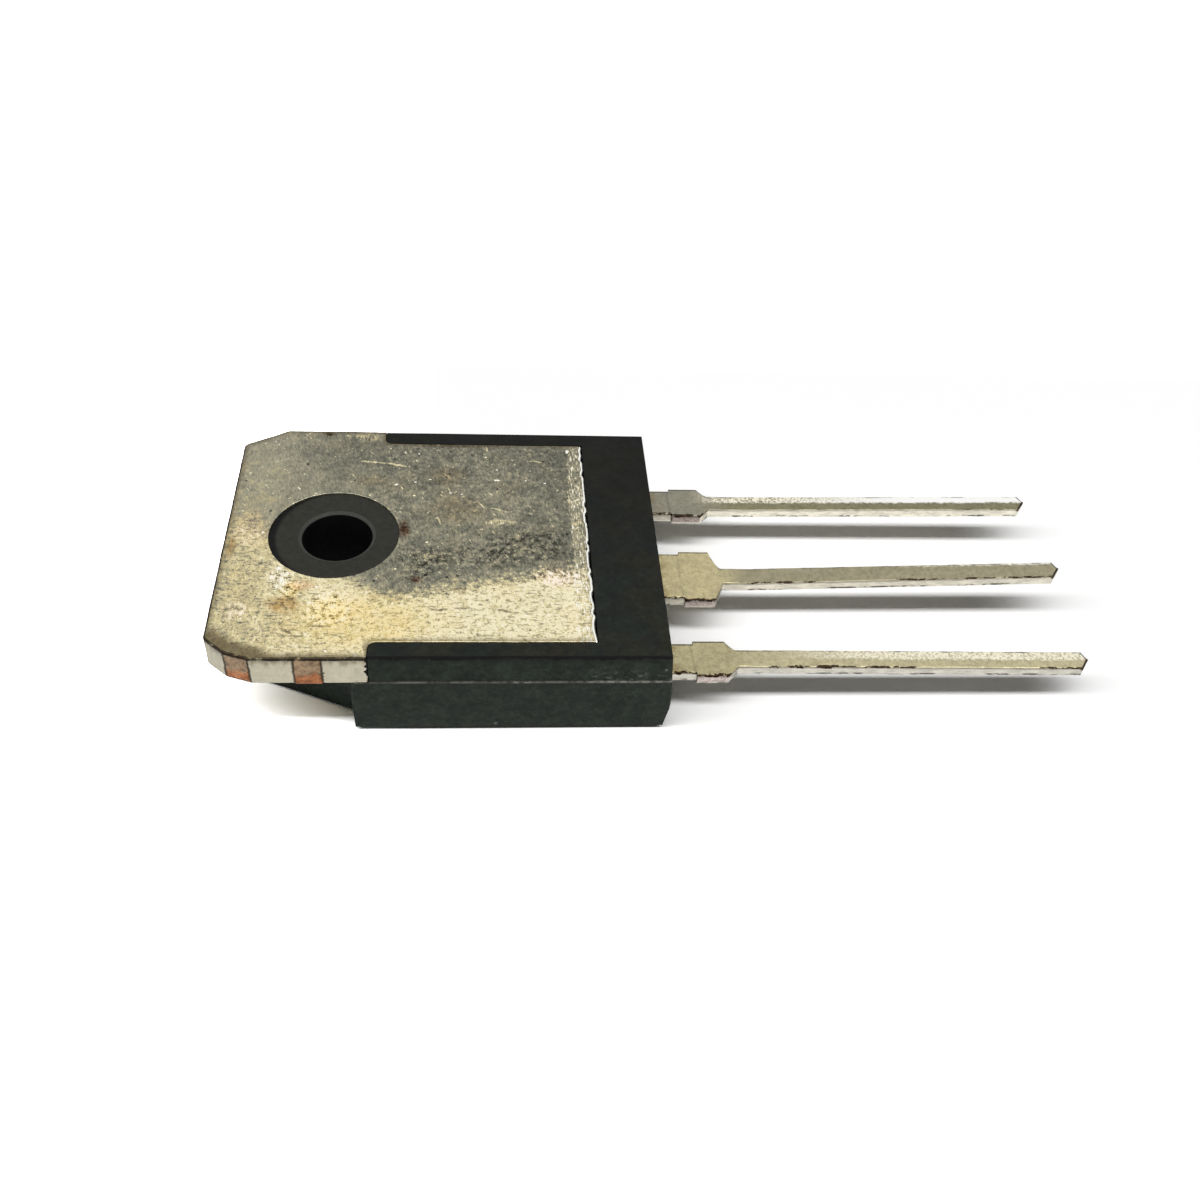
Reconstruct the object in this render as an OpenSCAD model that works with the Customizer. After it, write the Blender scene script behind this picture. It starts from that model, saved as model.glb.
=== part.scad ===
// Dual rectifier diode in a flat three-lead power package.
// The body lies on its flat front at z = 0 with the bare metal back facing up.
// The leads run along +X, and the origin is on the axis of the mounting hole.

/* [Package] */
// Width of the tab and of the moulded body, which are flush
package_w = 15.6; // [15:0.1:16.6]
// Height from the flat front to the metal back
package_t = 4.8; // [4.6:0.05:5.4]

/* [Heat spreader] */
// Thickness of the copper tab
tab_t = 1.5; // [1.3:0.05:1.8]
// Distance from the tab's free end to the axis of the mounting hole
hole_to_tab_end = 5; // [4.6:0.05:6]
// Length of the tab's full-width part, from its free end
tab_l = 6.85; // [6.4:0.05:7.6]
// Length of the whole heat spreader, from the tab's free end
spreader_l = 16.55; // [15.9:0.05:16.7]
// Width of the exposed pad between the moulded side strips
pad_w = 13.7; // [13.2:0.05:14.2]
// Length of each cut corner along the side of the tab
corner_l = 2.05; // [1.6:0.05:2.6]
// Width of each cut corner along the end of the tab
corner_w = 1.2; // [0.8:0.05:1.8]
// Distance from the tab's end to the bend in the corner that was cut from the strip
corner_bend_l = 0.93; // [0.6:0.01:1.2]
// Distance from the side of the tab to that bend
corner_bend_w = 0.37; // [0.2:0.01:0.5]
// Radius on the outer corners of the tab
tab_corner_r = 0.4; // [0.1:0.05:0.6]
// Radius in the inner corners between tab and pad
pad_corner_r = 0.3; // [0.1:0.05:0.5]
// Radius of the tab's hole, which the moulding lines
tab_hole_r = 2.95; // [2.4:0.05:3.3]
// How far the tab's hole is punched off the axis, towards the tab's end
tab_hole_shift = 0.13; // [0:0.01:0.3]
// Width of the ledge round the pad that locks it into the moulding
ledge_w = 0.35; // [0.2:0.05:0.6]
// Thickness of that ledge
ledge_t = 0.6; // [0.4:0.05:0.9]
// Distance from the tab's end to the middle of the cut tie bar on each side
tie_bar_at = 4.37; // [3.6:0.01:5.2]
// Width of a cut tie bar
tie_bar_w = 1.15; // [0.8:0.05:1.6]
// How far a cut tie bar stands out of the tab's side
tie_bar_stub = 0.06; // [0.02:0.01:0.2]

/* [Moulded body] */
// Distance from the mounting hole axis to the lead end of the body
hole_to_body_end = 14.9; // [14.6:0.05:15.6]
// Length of the body's full-width block
block_l = 13.9; // [13.5:0.05:14.2]
// Length of the tapered head that runs out under the tab
head_l = 4.8; // [4.2:0.05:5]
// Width of the head where it meets the block
head_root_w = 14; // [13:0.1:14.4]
// Width of the head at its free end
head_end_w = 9.9; // [9:0.1:11]
// Radius of the mounting hole
hole_r = 1.6; // [1.3:0.05:1.9]
// Width of the bevel round the mouth of the mounting hole
hole_bevel_w = 0.17; // [0.05:0.01:0.3]
// Depth of that bevel
hole_bevel_t = 0.12; // [0.05:0.01:0.3]
// How far the ring in the tab's hole lies below the metal back
ring_recess = 0.1; // [0.05:0.01:0.25]
// How far the moulded back lies below the metal back
back_recess = 0.03; // [0.01:0.01:0.1]
// Width of the step along the parting line at the side
parting_step = 0.06; // [0.02:0.01:0.15]
// Draft of the sides below the parting line, in degrees
side_draft = 4; // [1:0.5:8]
// Draft of the side strips above the parting line, in degrees
strip_draft = 1.5; // [0.5:0.5:5]
// Draft of the lead end below the leads, in degrees
end_front_draft = 8.5; // [2:0.5:12]
// Draft of the lead end above the leads, in degrees
end_back_draft = 4.5; // [1:0.5:8]
// Draft of the shoulders where the block steps out from the head, in degrees
shoulder_draft = 1.5; // [0.5:0.5:5]
// Draft of the head's sides and end, in degrees
head_draft = 6.5; // [2:0.5:9]
// Bevel round the front face
front_bevel = 0.2; // [0.05:0.05:0.4]
// Radius on the upright corners of the block
block_corner_r = 0.3; // [0.1:0.05:0.6]
// Radius on the upright corners of the head
head_corner_r = 0.8; // [0.3:0.1:1.4]
// Radius of an ejector pin mark on the front face
ejector_r = 0.8; // [0.5:0.1:1.2]
// Depth of an ejector pin mark
ejector_t = 0.08; // [0.03:0.01:0.15]
// Distance from an ejector pin mark to the middle of the package
ejector_offset = 5.6; // [4:0.1:6]

/* [Leads] */
// Distance between the middles of neighbouring leads
lead_pitch = 5.45; // [5:0.05:5.6]
// Thickness of the leads
lead_t = 0.55; // [0.4:0.05:0.7]
// Height of the leads' lower face above the front face
lead_z = 1.77; // [1.5:0.01:2.1]
// Width of a lead's narrow part
lead_w = 1.1; // [0.8:0.05:1.2]
// Length of the leads outside the body
lead_l = 19.9; // [14:0.1:22]
// How much shorter the second outer lead was cut
second_lead_short = 0.15; // [0:0.05:1]
// Width of an outer lead at the body
outer_root_w = 1.85; // [1.4:0.05:2.4]
// Width of the middle lead at the body
middle_root_w = 3.1; // [2.4:0.05:3.4]
// Distance from the body to the cut dam bar
dam_bar_at = 1.25; // [0.8:0.05:1.8]
// Length of the cut dam bar along the lead
dam_bar_l = 1.45; // [0.8:0.05:2]
// How far the cut dam bar stands out on each side of a lead
dam_bar_stub = 0.17; // [0.05:0.01:0.25]
// Length over which a lead narrows past the dam bar
taper_l = 0.5; // [0.3:0.05:1]
// Radius where the middle lead's taper meets its narrow part
taper_r = 0.35; // [0.1:0.05:0.5]
// Depth of the pointed cut at a lead's tip
tip_point = 0.2; // [0.1:0.05:0.5]
// Distance from the body to where the leads start to bend
bend_at = 4.6; // [3.5:0.1:8]
// Rise of the first outer lead's tip
first_lead_rise = 0.22; // [-0.8:0.01:0.8]
// Rise of the middle lead's tip
middle_lead_rise = 0.55; // [-0.8:0.01:0.8]
// Rise of the second outer lead's tip
second_lead_rise = -0.16; // [-0.8:0.01:0.8]

/* [Inside] */
// Length of an outer lead's bonding paddle
paddle_l = 1.5; // [1.2:0.05:1.6]
// Width of a bonding paddle
paddle_w = 3.75; // [3.4:0.05:3.9]
// How far a paddle reaches past its lead's middle, away from the middle lead
paddle_reach = 1.65; // [1.2:0.05:1.8]
// Gap between the heat spreader's end and the paddles, seen from above
paddle_gap = 0.25; // [0.15:0.05:0.3]
// Distance from the body's lead end to where the middle lead has stepped down to the others
middle_step_at = 1; // [0.6:0.1:1.3]
// Radius of the hole that locks an outer lead into the moulding
lock_hole_r = 0.4; // [0.2:0.05:0.5]
// Width and length of a chip
chip_w = 4.4; // [3.4:0.1:4.6]
// Thickness of a chip
chip_t = 0.3; // [0.2:0.01:0.4]
// Margin round the contact on a chip's face
contact_margin = 0.35; // [0.2:0.05:0.5]
// Thickness of that contact
contact_t = 0.03; // [0.02:0.01:0.06]
// Distance from the chips' middle to the heat spreader's end
chip_to_end = 3.2; // [2.9:0.1:4]
// Distance from a chip's middle to the middle of the package
chip_offset = 3.45; // [2.9:0.05:3.8]
// Thickness of the solder under a chip
solder_t = 0.08; // [0.04:0.01:0.15]
// Margin of solder round a chip
solder_margin = 0.1; // [0:0.05:0.3]
// Radius of a bond wire
wire_r = 0.19; // [0.1:0.01:0.22]
// Sag of a bond wire's loop below the line between its ends
wire_sag = 0.75; // [0.5:0.05:0.9]
// Distance between the two wires of a chip
wire_pitch = 0.9; // [0.7:0.05:1.1]
// Length of a bond wire's foot
foot_l = 0.85; // [0.6:0.05:1]
// Width of a foot
foot_w = 0.5; // [0.45:0.05:0.6]
// Thickness of a foot
foot_t = 0.3; // [0.22:0.01:0.36]

/* [Hidden] */
$fn = 72;

// Places along X
tab_end_x = -hole_to_tab_end;
pad_start_x = tab_end_x + tab_l;
spreader_end_x = tab_end_x + spreader_l;
body_end_x = hole_to_body_end;
shoulder_x = body_end_x - block_l;
head_end_x = shoulder_x - head_l;
dam_bar_x = body_end_x + dam_bar_at;
taper_x = dam_bar_x + dam_bar_l;
narrow_x = taper_x + taper_l;
bend_x = body_end_x + bend_at;
tip_x = body_end_x + lead_l;
paddle_x = spreader_end_x + ledge_w + paddle_gap;
paddle_end_x = paddle_x + paddle_l;
chip_x = spreader_end_x - chip_to_end;

// Heights
parting_z = package_t - tab_t;
moulded_back_z = package_t - back_recess;
ring_z = package_t - ring_recess;
lead_top_z = lead_z + lead_t;
chip_top_z = parting_z - solder_t;
contact_top_z = chip_top_z - chip_t;
contact_z = contact_top_z - contact_t;

// Half widths
half_w = package_w / 2;
pad_half_w = pad_w / 2;

// A cutter reaches this far past what it cuts, and a fused part this far into its neighbour
over = 1;
beyond = 40;

// The wires run where the chip's contact and the paddle lie opposite each other
paddle_y = lead_pitch + paddle_reach - paddle_w;
contact_end_y = chip_offset + chip_w / 2 - contact_margin;
wires_y = (paddle_y + contact_end_y) / 2;
wire_chip_x = chip_x + chip_w / 2 - contact_margin - foot_l / 2;
wire_lead_x = paddle_x + paddle_l / 2;

// ---------------------------------------------------------------- helpers

function unit(v) = v / norm(v);

// Piece between a sharp corner and the arc that rounds it, with a little past the corner so that
// it cuts off an outer corner cleanly, or sinks into the solid at an inner one
module corner_piece(before, corner, after, r) {
    a = unit(before - corner);
    b = unit(after - corner);
    half = acos(a * b) / 2;
    middle = unit(a + b);
    centre = corner + middle * r / sin(half);
    run = r / tan(half);
    difference() {
        polygon([corner + a * run, corner - middle * r / 4, corner + b * run, centre]);
        translate(centre) circle(r = r);
    }
}

// Outline through the points, with each corner rounded by its radius in the list (0 leaves it sharp,
// a negative one fills an inner corner)
module rounded_outline(points, radii) {
    n = len(points);
    difference() {
        union() {
            polygon(points);
            for (i = [0 : n - 1]) if (radii[i] < 0)
                corner_piece(points[(i + n - 1) % n], points[i], points[(i + 1) % n], -radii[i]);
        }
        for (i = [0 : n - 1]) if (radii[i] > 0)
            corner_piece(points[(i + n - 1) % n], points[i], points[(i + 1) % n], radii[i]);
    }
}

// Profile drawn in X and Z, run along Y on both sides of the middle
module along_y(profile, width) {
    rotate([90, 0, 0]) linear_extrude(height = width, center = true) polygon(profile);
}

// Profile drawn in Y and Z, run along X on both sides of the origin
module along_x(profile, length) {
    rotate([90, 0, 90]) linear_extrude(height = length, center = true) polygon(profile);
}

// ---------------------------------------------------------------- heat spreader and middle lead

module spreader_outline() {
    rounded_outline(
        [[tab_end_x, -half_w + corner_w],
         [tab_end_x + corner_bend_l, -half_w + corner_bend_w],
         [tab_end_x + corner_l, -half_w],
         [pad_start_x, -half_w],
         [pad_start_x, -pad_half_w],
         [spreader_end_x, -pad_half_w],
         [spreader_end_x, pad_half_w],
         [pad_start_x, pad_half_w],
         [pad_start_x, half_w],
         [tab_end_x + corner_l, half_w],
         [tab_end_x, half_w - corner_w]],
        [tab_corner_r, tab_corner_r, tab_corner_r, 0, -pad_corner_r, 0, 0, -pad_corner_r, 0,
         tab_corner_r, tab_corner_r]);
}

// Ledge under the pad's edges, which the moulding grips from both sides
module locking_ledge() {
    translate([pad_start_x - over, -pad_half_w - ledge_w, parting_z])
        cube([spreader_end_x + ledge_w - pad_start_x + over, pad_w + 2 * ledge_w, ledge_t]);
}

// Stubs of the tie bars that held the tab in its strip
module tie_bar_stubs() {
    translate([tab_end_x + tie_bar_at - tie_bar_w / 2, -half_w - tie_bar_stub, parting_z])
        cube([tie_bar_w, package_w + 2 * tie_bar_stub, tab_t]);
}

// Side view of the middle lead: it leaves the spreader's inner face, steps down to the other
// leads inside the body and runs out level with them
module middle_lead_profile_solid() {
    step_start_x = spreader_end_x + ledge_w;
    step_end_x = body_end_x - middle_step_at;
    drop = parting_z - lead_z;
    slant = lead_t * (norm([step_end_x - step_start_x, drop]) - (step_end_x - step_start_x)) / drop;
    along_y([[spreader_end_x - over, parting_z],
             [step_start_x, parting_z],
             [step_end_x - slant, lead_z],
             [bend_x, lead_z],
             [tip_x, lead_z + middle_lead_rise],
             [tip_x, lead_top_z + middle_lead_rise],
             [bend_x, lead_top_z],
             [step_end_x, lead_top_z],
             [step_start_x + slant, parting_z + lead_t],
             [spreader_end_x - over, parting_z + lead_t]], package_w);
}

// Outline of a lead from x to its tip, about the X axis
module lead_outline(x, tip, root_w) {
    root = root_w / 2;
    stub = root + dam_bar_stub;
    narrow = lead_w / 2;
    side = [[x, root], [dam_bar_x, root], [dam_bar_x, stub], [taper_x, stub], [narrow_x, narrow],
            [tip - tip_point, narrow]];
    fillet = -taper_r;
    rounded_outline(
        concat(side, [[tip, 0]], [for (i = [len(side) - 1 : -1 : 0]) [side[i].x, -side[i].y]]),
        [0, 0, 0, 0, fillet, 0, 0, 0, fillet, 0, 0, 0, 0]);
}

module heatsink_leadframe() {
    color("#b4ae9c") difference() {
        union() {
            translate([0, 0, parting_z]) linear_extrude(height = tab_t) spreader_outline();
            locking_ledge();
            tie_bar_stubs();
            intersection() {
                linear_extrude(height = package_t)
                    lead_outline(spreader_end_x - over, tip_x, middle_root_w);
                middle_lead_profile_solid();
            }
        }
        translate([-tab_hole_shift, 0, parting_z - over])
            cylinder(r = tab_hole_r, h = tab_t + 2 * over);
    }
}

// ---------------------------------------------------------------- outer leads

// Side view of an outer lead, straight to the bend and then sloped to its tip
module outer_lead_profile_solid(tip, rise) {
    along_y([[paddle_x - over, lead_z],
             [bend_x, lead_z],
             [tip, lead_z + rise],
             [tip, lead_top_z + rise],
             [bend_x, lead_top_z],
             [paddle_x - over, lead_top_z]], 2 * package_w);
}

// An outer lead: bonding paddle, neck with its locking hole, root, dam bar stubs, narrow part.
// side is 1 for the first lead and -1 for the second
module anode_lead(side, short, rise) {
    tip = tip_x - short;
    color("#b4ae9c") difference() {
        union() {
            intersection() {
                translate([0, side * lead_pitch, 0]) linear_extrude(height = package_t)
                    lead_outline(paddle_end_x - over / 2, tip, outer_root_w);
                outer_lead_profile_solid(tip, rise);
            }
            translate([paddle_x, side > 0 ? paddle_y : -paddle_y - paddle_w, lead_z])
                cube([paddle_l, paddle_w, lead_t]);
        }
        translate([(paddle_end_x + body_end_x) / 2, side * lead_pitch, lead_z - over])
            cylinder(r = lock_hole_r, h = lead_t + 2 * over);
    }
}

module anode_lead_1() { anode_lead(1, 0, first_lead_rise); }
module anode_lead_2() { anode_lead(-1, second_lead_short, second_lead_rise); }

// ---------------------------------------------------------------- chips, solder and bond wires

// Square plate under the height top, over the place of one chip
module chip_plate(side, w, top, t) {
    translate([chip_x - w / 2, side * chip_offset - w / 2, top - t]) cube([w, w, t]);
}

module chip_solder(side) {
    color("#8f9294") chip_plate(side, chip_w + 2 * solder_margin, parting_z, solder_t);
}

// Silicon chip with the raised metal contact on its free face
module diode_chip(side) {
    color("#5a5f6b") {
        chip_plate(side, chip_w, chip_top_z, chip_t);
        chip_plate(side, chip_w - 2 * contact_margin, contact_top_z, contact_t);
    }
}

// Foot of a bond wire against the surface at the height top
module wire_foot(x, top) {
    translate([x - foot_l / 2, -foot_w / 2, top - foot_t]) cube([foot_l, foot_w, foot_t]);
}

// A bond wire: a round arc that hangs from foot to foot. place is -1 for a chip's inner wire and
// 1 for its outer one
module bond_wire(side, place) {
    start = [wire_chip_x + foot_l / 4, contact_z - wire_r];
    finish = [wire_lead_x - foot_l / 4, lead_z - wire_r];
    chord = norm(finish - start);
    arc_r = (chord * chord / 4 + wire_sag * wire_sag) / (2 * wire_sag);
    half_angle = asin(chord / 2 / arc_r);
    along = unit(finish - start);
    up = [-along.y, along.x];
    centre = (start + finish) / 2 + up * (arc_r - wire_sag);
    middle_angle = atan2(-up.y, -up.x);
    color("#c9ccd0") translate([0, side * (wires_y + place * wire_pitch / 2), 0]) {
        translate([centre.x, 0, centre.y]) rotate([90, 0, 0])
            rotate([0, 0, middle_angle - half_angle])
                rotate_extrude(angle = 2 * half_angle) translate([arc_r, 0]) circle(r = wire_r, $fn = 24);
        wire_foot(wire_chip_x, contact_z);
        wire_foot(wire_lead_x, lead_z);
    }
}

module diode_chip_1() { diode_chip(1); }
module diode_chip_2() { diode_chip(-1); }
module chip_solder_1() { chip_solder(1); }
module chip_solder_2() { chip_solder(-1); }
module bond_wire_1a() { bond_wire(1, -1); }
module bond_wire_1b() { bond_wire(1, 1); }
module bond_wire_2a() { bond_wire(-1, -1); }
module bond_wire_2b() { bond_wire(-1, 1); }

// ---------------------------------------------------------------- moulded body

// Half of a level profile that leans in below the parting line and ends in the front bevel:
// distances from the wall's place at the parting line, with their heights
function drafted_wall(draft) =
    [[0, parting_z],
     [(parting_z - front_bevel) * tan(draft), front_bevel],
     [parting_z * tan(draft) + front_bevel, 0]];

// Full-width block below the parting line. Its lead end is widest at the leads
module lower_block() {
    end_at_front = body_end_x - lead_z * tan(end_front_draft);
    end_at_bevel = body_end_x - (lead_z - front_bevel) * tan(end_front_draft);
    end_at_parting = body_end_x - (parting_z - lead_z) * tan(end_back_draft);
    shoulder = [for (p = drafted_wall(shoulder_draft)) [shoulder_x + p.x, p.y]];
    wall = drafted_wall(side_draft);
    intersection() {
        along_y(concat(shoulder, [[end_at_front - front_bevel, 0], [end_at_bevel, front_bevel],
                                  [body_end_x, lead_z], [end_at_parting, parting_z]]),
                package_w + 2 * over);
        along_x(concat([for (p = wall) [p.x - half_w, p.y]],
                       [for (i = [len(wall) - 1 : -1 : 0]) [half_w - wall[i].x, wall[i].y]]), beyond);
        linear_extrude(height = package_t) block_outline(half_w);
    }
}

// Outline of the block with its upright corners rounded
module block_outline(half) {
    rounded_outline([[shoulder_x, -half], [body_end_x, -half], [body_end_x, half], [shoulder_x, half]],
                    [block_corner_r, block_corner_r, block_corner_r, block_corner_r]);
}

// Side strips and end zone above the parting line
module upper_block() {
    strip_half = half_w - parting_step;
    rise = moulded_back_z - parting_z;
    end_at_parting = body_end_x - (parting_z - lead_z) * tan(end_back_draft);
    end_at_back = body_end_x - (moulded_back_z - lead_z) * tan(end_back_draft);
    top_half = strip_half - rise * tan(strip_draft);
    intersection() {
        along_y([[pad_start_x, parting_z], [end_at_parting, parting_z], [end_at_back, moulded_back_z],
                 [pad_start_x, moulded_back_z]], package_w + 2 * over);
        along_x([[-strip_half, parting_z], [strip_half, parting_z], [top_half, moulded_back_z],
                 [-top_half, moulded_back_z]], beyond);
        linear_extrude(height = package_t) block_outline(strip_half);
    }
}

// Upright wall that leans in below the parting line, through the point and at the angle given,
// with the solid on its inner side
module leaning_wall(point, angle) {
    wall = drafted_wall(head_draft);
    translate([point.x, point.y, 0]) rotate([0, 0, angle])
        along_x(concat([for (p = wall) [-p.x, p.y]], [[-beyond, 0], [-beyond, parting_z]]), beyond);
}

// Head that carries the tab out to its end, narrower towards its free end
module head() {
    spread = (head_root_w - head_end_w) / 2;
    angle = atan2(spread, head_l);
    root = [shoulder_x, head_root_w / 2];
    intersection() {
        leaning_wall(root, angle);
        mirror([0, 1, 0]) leaning_wall(root, angle);
        leaning_wall([head_end_x, 0], 90);
        linear_extrude(height = parting_z)
            rounded_outline([[head_end_x, -head_end_w / 2],
                             [shoulder_x + over, -head_root_w / 2 - spread * over / head_l],
                             [shoulder_x + over, head_root_w / 2 + spread * over / head_l],
                             [head_end_x, head_end_w / 2]],
                            [head_corner_r, 0, 0, head_corner_r]);
    }
}

// Round marks of the ejector pins on the front face
module ejector_marks() {
    for (side = [-1, 1])
        translate([shoulder_x + block_l / 3, side * ejector_offset, -over])
            cylinder(r = ejector_r, h = over + ejector_t);
}

module mounting_hole() {
    translate([0, 0, -over]) cylinder(r = hole_r, h = package_t + 2 * over);
    translate([0, 0, ring_z - hole_bevel_t])
        cylinder(r1 = hole_r, r2 = hole_r + hole_bevel_w, h = hole_bevel_t);
}

// Room above the ring, which lies deeper in the tab's hole than the side strips beside it
module ring_opening() {
    translate([-tab_hole_shift, 0, ring_z]) cylinder(r = tab_hole_r, h = package_t);
}

module moulded_body() {
    color("#26282a") difference() {
        union() {
            lower_block();
            upper_block();
            head();
            translate([-tab_hole_shift, 0, parting_z - over])
                cylinder(r = tab_hole_r, h = ring_z - parting_z + over);
        }
        ring_opening();
        mounting_hole();
        ejector_marks();
        heatsink_leadframe();
        anode_lead_1();
        anode_lead_2();
        chip_solder_1();
        chip_solder_2();
        diode_chip_1();
        diode_chip_2();
        bond_wire_1a();
        bond_wire_1b();
        bond_wire_2a();
        bond_wire_2b();
    }
}

moulded_body();
heatsink_leadframe();
anode_lead_1();
anode_lead_2();
diode_chip_1();
diode_chip_2();
chip_solder_1();
chip_solder_2();
bond_wire_1a();
bond_wire_1b();
bond_wire_2a();
bond_wire_2b();
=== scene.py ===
"""Dual rectifier diode in a flat three-lead package, dressed for rendering.

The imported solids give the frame. The sheared and dipped metal is built here as skins worked out
with numpy, and the moulding is a copy of its solid with eased edges. Sizes are in millimetres in
the row frame (X along the leads, Y across the package, Z up out of the metal back) and become
metres where a mesh, a lamp or the camera is written.
"""

from __future__ import annotations

import logging
import math
from collections.abc import Sequence
from dataclasses import dataclass, field
from enum import Enum

import bmesh
import bpy
import numpy as np
from mathutils import Matrix, Vector

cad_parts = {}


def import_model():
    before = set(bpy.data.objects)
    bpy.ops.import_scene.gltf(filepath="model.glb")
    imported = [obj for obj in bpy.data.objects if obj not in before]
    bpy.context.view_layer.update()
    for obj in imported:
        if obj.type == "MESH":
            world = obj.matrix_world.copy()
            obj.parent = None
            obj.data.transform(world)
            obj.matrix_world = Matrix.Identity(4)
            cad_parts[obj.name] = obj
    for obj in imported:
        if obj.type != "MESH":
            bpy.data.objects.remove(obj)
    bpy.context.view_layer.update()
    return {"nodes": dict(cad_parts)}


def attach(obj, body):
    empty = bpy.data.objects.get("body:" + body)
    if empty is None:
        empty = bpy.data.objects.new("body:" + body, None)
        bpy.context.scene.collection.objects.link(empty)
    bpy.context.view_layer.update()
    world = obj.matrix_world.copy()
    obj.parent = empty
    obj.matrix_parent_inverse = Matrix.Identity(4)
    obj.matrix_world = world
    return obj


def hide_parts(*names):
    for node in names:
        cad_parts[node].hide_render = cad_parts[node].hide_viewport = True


log = logging.getLogger("diode")

MM = 0.001
Colour = tuple[float, float, float]


# ---------------------------------------------------------------- numbers and noise


def paint(red: int, green: int, blue: int) -> Colour:
    """Linear colour of a paint given in 8-bit display values: ((c + 0.055) / 1.055) ** 2.4."""
    shown = np.array([red, green, blue]) / 255
    return tuple(float(c) for c in np.where(shown > 0.04, ((shown + 0.055) / 1.055) ** 2.4, shown / 12.92))


def ease(low: float, high: float, x: np.ndarray) -> np.ndarray:
    """Smooth step from 0 at low to 1 at high: 3 t^2 - 2 t^3, with t clamped to 0..1."""
    t = np.clip((np.asarray(x, float) - low) / (high - low), 0, 1)
    return t * t * (3 - 2 * t)


def between(low: float, high: float, x: np.ndarray, soft: float) -> np.ndarray:
    """1 from low to high and 0 outside, with a smooth step at each end that is twice soft long."""
    return ease(low - soft, low + soft, x) * ease(high + soft, high - soft, x)


class Grain:
    """Smooth random field over a plane, from a seeded lattice of values that repeats every 64 cells."""

    cells = 64

    def __init__(self, seed: int) -> None:
        """Draws the lattice of values from the seed."""
        self.lattice = np.random.default_rng(seed).random((self.cells, self.cells))

    def corner(self, i: np.ndarray, j: np.ndarray) -> np.ndarray:
        """Lattice values at whole places, which wrap round."""
        return self.lattice[i % self.cells, j % self.cells]

    def at(self, u: np.ndarray, v: np.ndarray | float = 0.0, octaves: int = 1) -> np.ndarray:
        """Values from 0 to 1: each octave blends the four lattice values round a point with weights
        3 t^2 - 2 t^3, and each next octave is twice as fine and half as strong.

        Args:
            u: Places along the first axis, in cells.
            v: Places along the second axis, in cells.
            octaves: How many finer layers are added up.

        Returns:
            One value for each place.
        """
        u, v = np.broadcast_arrays(np.asarray(u, float), np.asarray(v, float))
        total, weight = np.zeros(u.shape), 0.0
        for octave in range(octaves):
            x, y, strength = u * 2**octave + 17 * octave, v * 2**octave + 5 * octave, 0.5**octave
            i, j = np.floor(x).astype(int), np.floor(y).astype(int)
            s, t = ease(0, 1, x - i), ease(0, 1, y - j)
            low = self.corner(i, j) * (1 - s) + self.corner(i + 1, j) * s
            high = self.corner(i, j + 1) * (1 - s) + self.corner(i + 1, j + 1) * s
            total += strength * (low * (1 - t) + high * t)
            weight += strength
        return total / weight


# ---------------------------------------------------------------- meshes


@dataclass
class Sheet:
    """Grid of points that bends into one surface, with values painted on its points."""

    points: np.ndarray  # (rows, columns, 3), in millimetres
    round_rows: bool = False  # the last row joins the first
    round_columns: bool = False  # the last column joins the first
    values: dict[str, np.ndarray] = field(default_factory=dict)

    def quads(self) -> np.ndarray:
        """Corner numbers of the quads between neighbouring rows and columns."""
        rows, columns = self.points.shape[:2]
        number = np.arange(rows * columns).reshape(rows, columns)
        if self.round_rows:
            number = np.vstack([number, number[:1]])
        if self.round_columns:
            number = np.hstack([number, number[:, :1]])
        corners = [number[:-1, :-1], number[1:, :-1], number[1:, 1:], number[:-1, 1:]]
        return np.stack(corners, axis=-1).reshape(-1, 4)

    def outward_quads(self) -> np.ndarray:
        """The quads, turned round where the volume they enclose comes out negative."""
        quads = self.quads()
        flat = self.points.reshape(-1, 3) - self.points.reshape(-1, 3).mean(0)
        a, b, c, d = (flat[quads[:, k]] for k in range(4))
        volume = (a * (np.cross(b, c) + np.cross(c, d))).sum()
        return quads if volume > 0 else quads[:, ::-1]

    def piece(self, name: str, material: bpy.types.Material) -> bpy.types.Object:
        """Makes the sheet's smooth object, with doubled points at poles and seams merged.

        Args:
            name: Name of the object and its mesh.
            material: Finish of all faces.

        Returns:
            The object, linked to the scene, with its place in its mesh.
        """
        corners, faces = self.points.reshape(-1, 3) * MM, self.outward_quads().astype(np.int32)
        mesh = bpy.data.meshes.new(name)
        mesh.vertices.add(len(corners))
        mesh.vertices.foreach_set("co", corners.ravel())
        mesh.loops.add(faces.size)
        mesh.loops.foreach_set("vertex_index", faces.ravel())
        mesh.polygons.add(len(faces))
        mesh.polygons.foreach_set("loop_start", np.arange(0, faces.size, 4, dtype=np.int32))
        mesh.polygons.foreach_set("use_smooth", np.ones(len(faces), bool))
        for key, value in self.values.items():
            layer = mesh.attributes.new(key, "FLOAT", "POINT")
            layer.data.foreach_set("value", value.ravel().astype(float))
        mesh.update()
        weld = bmesh.new()
        weld.from_mesh(mesh)
        bmesh.ops.remove_doubles(weld, verts=weld.verts, dist=1e-8)
        weld.to_mesh(mesh)
        weld.free()
        mesh.validate()
        mesh.materials.append(material)
        return linked(name, mesh)


def linked(name: str, data: bpy.types.ID) -> bpy.types.Object:
    """Makes an object of a mesh, a lamp or a camera and links it to the scene."""
    made = bpy.data.objects.new(name, data)
    bpy.context.scene.collection.objects.link(made)
    return made


def place_piece(piece: bpy.types.Object, slot: str, node: str) -> None:
    """Lets a piece ride on the one body, hides the solid it stands for, and logs its slot's name."""
    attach(piece, "root")
    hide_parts(node)
    log.info("%s: %d faces, slot %s, for %s", piece.name, len(piece.data.polygons), slot, node)


# ---------------------------------------------------------------- nodes


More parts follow.
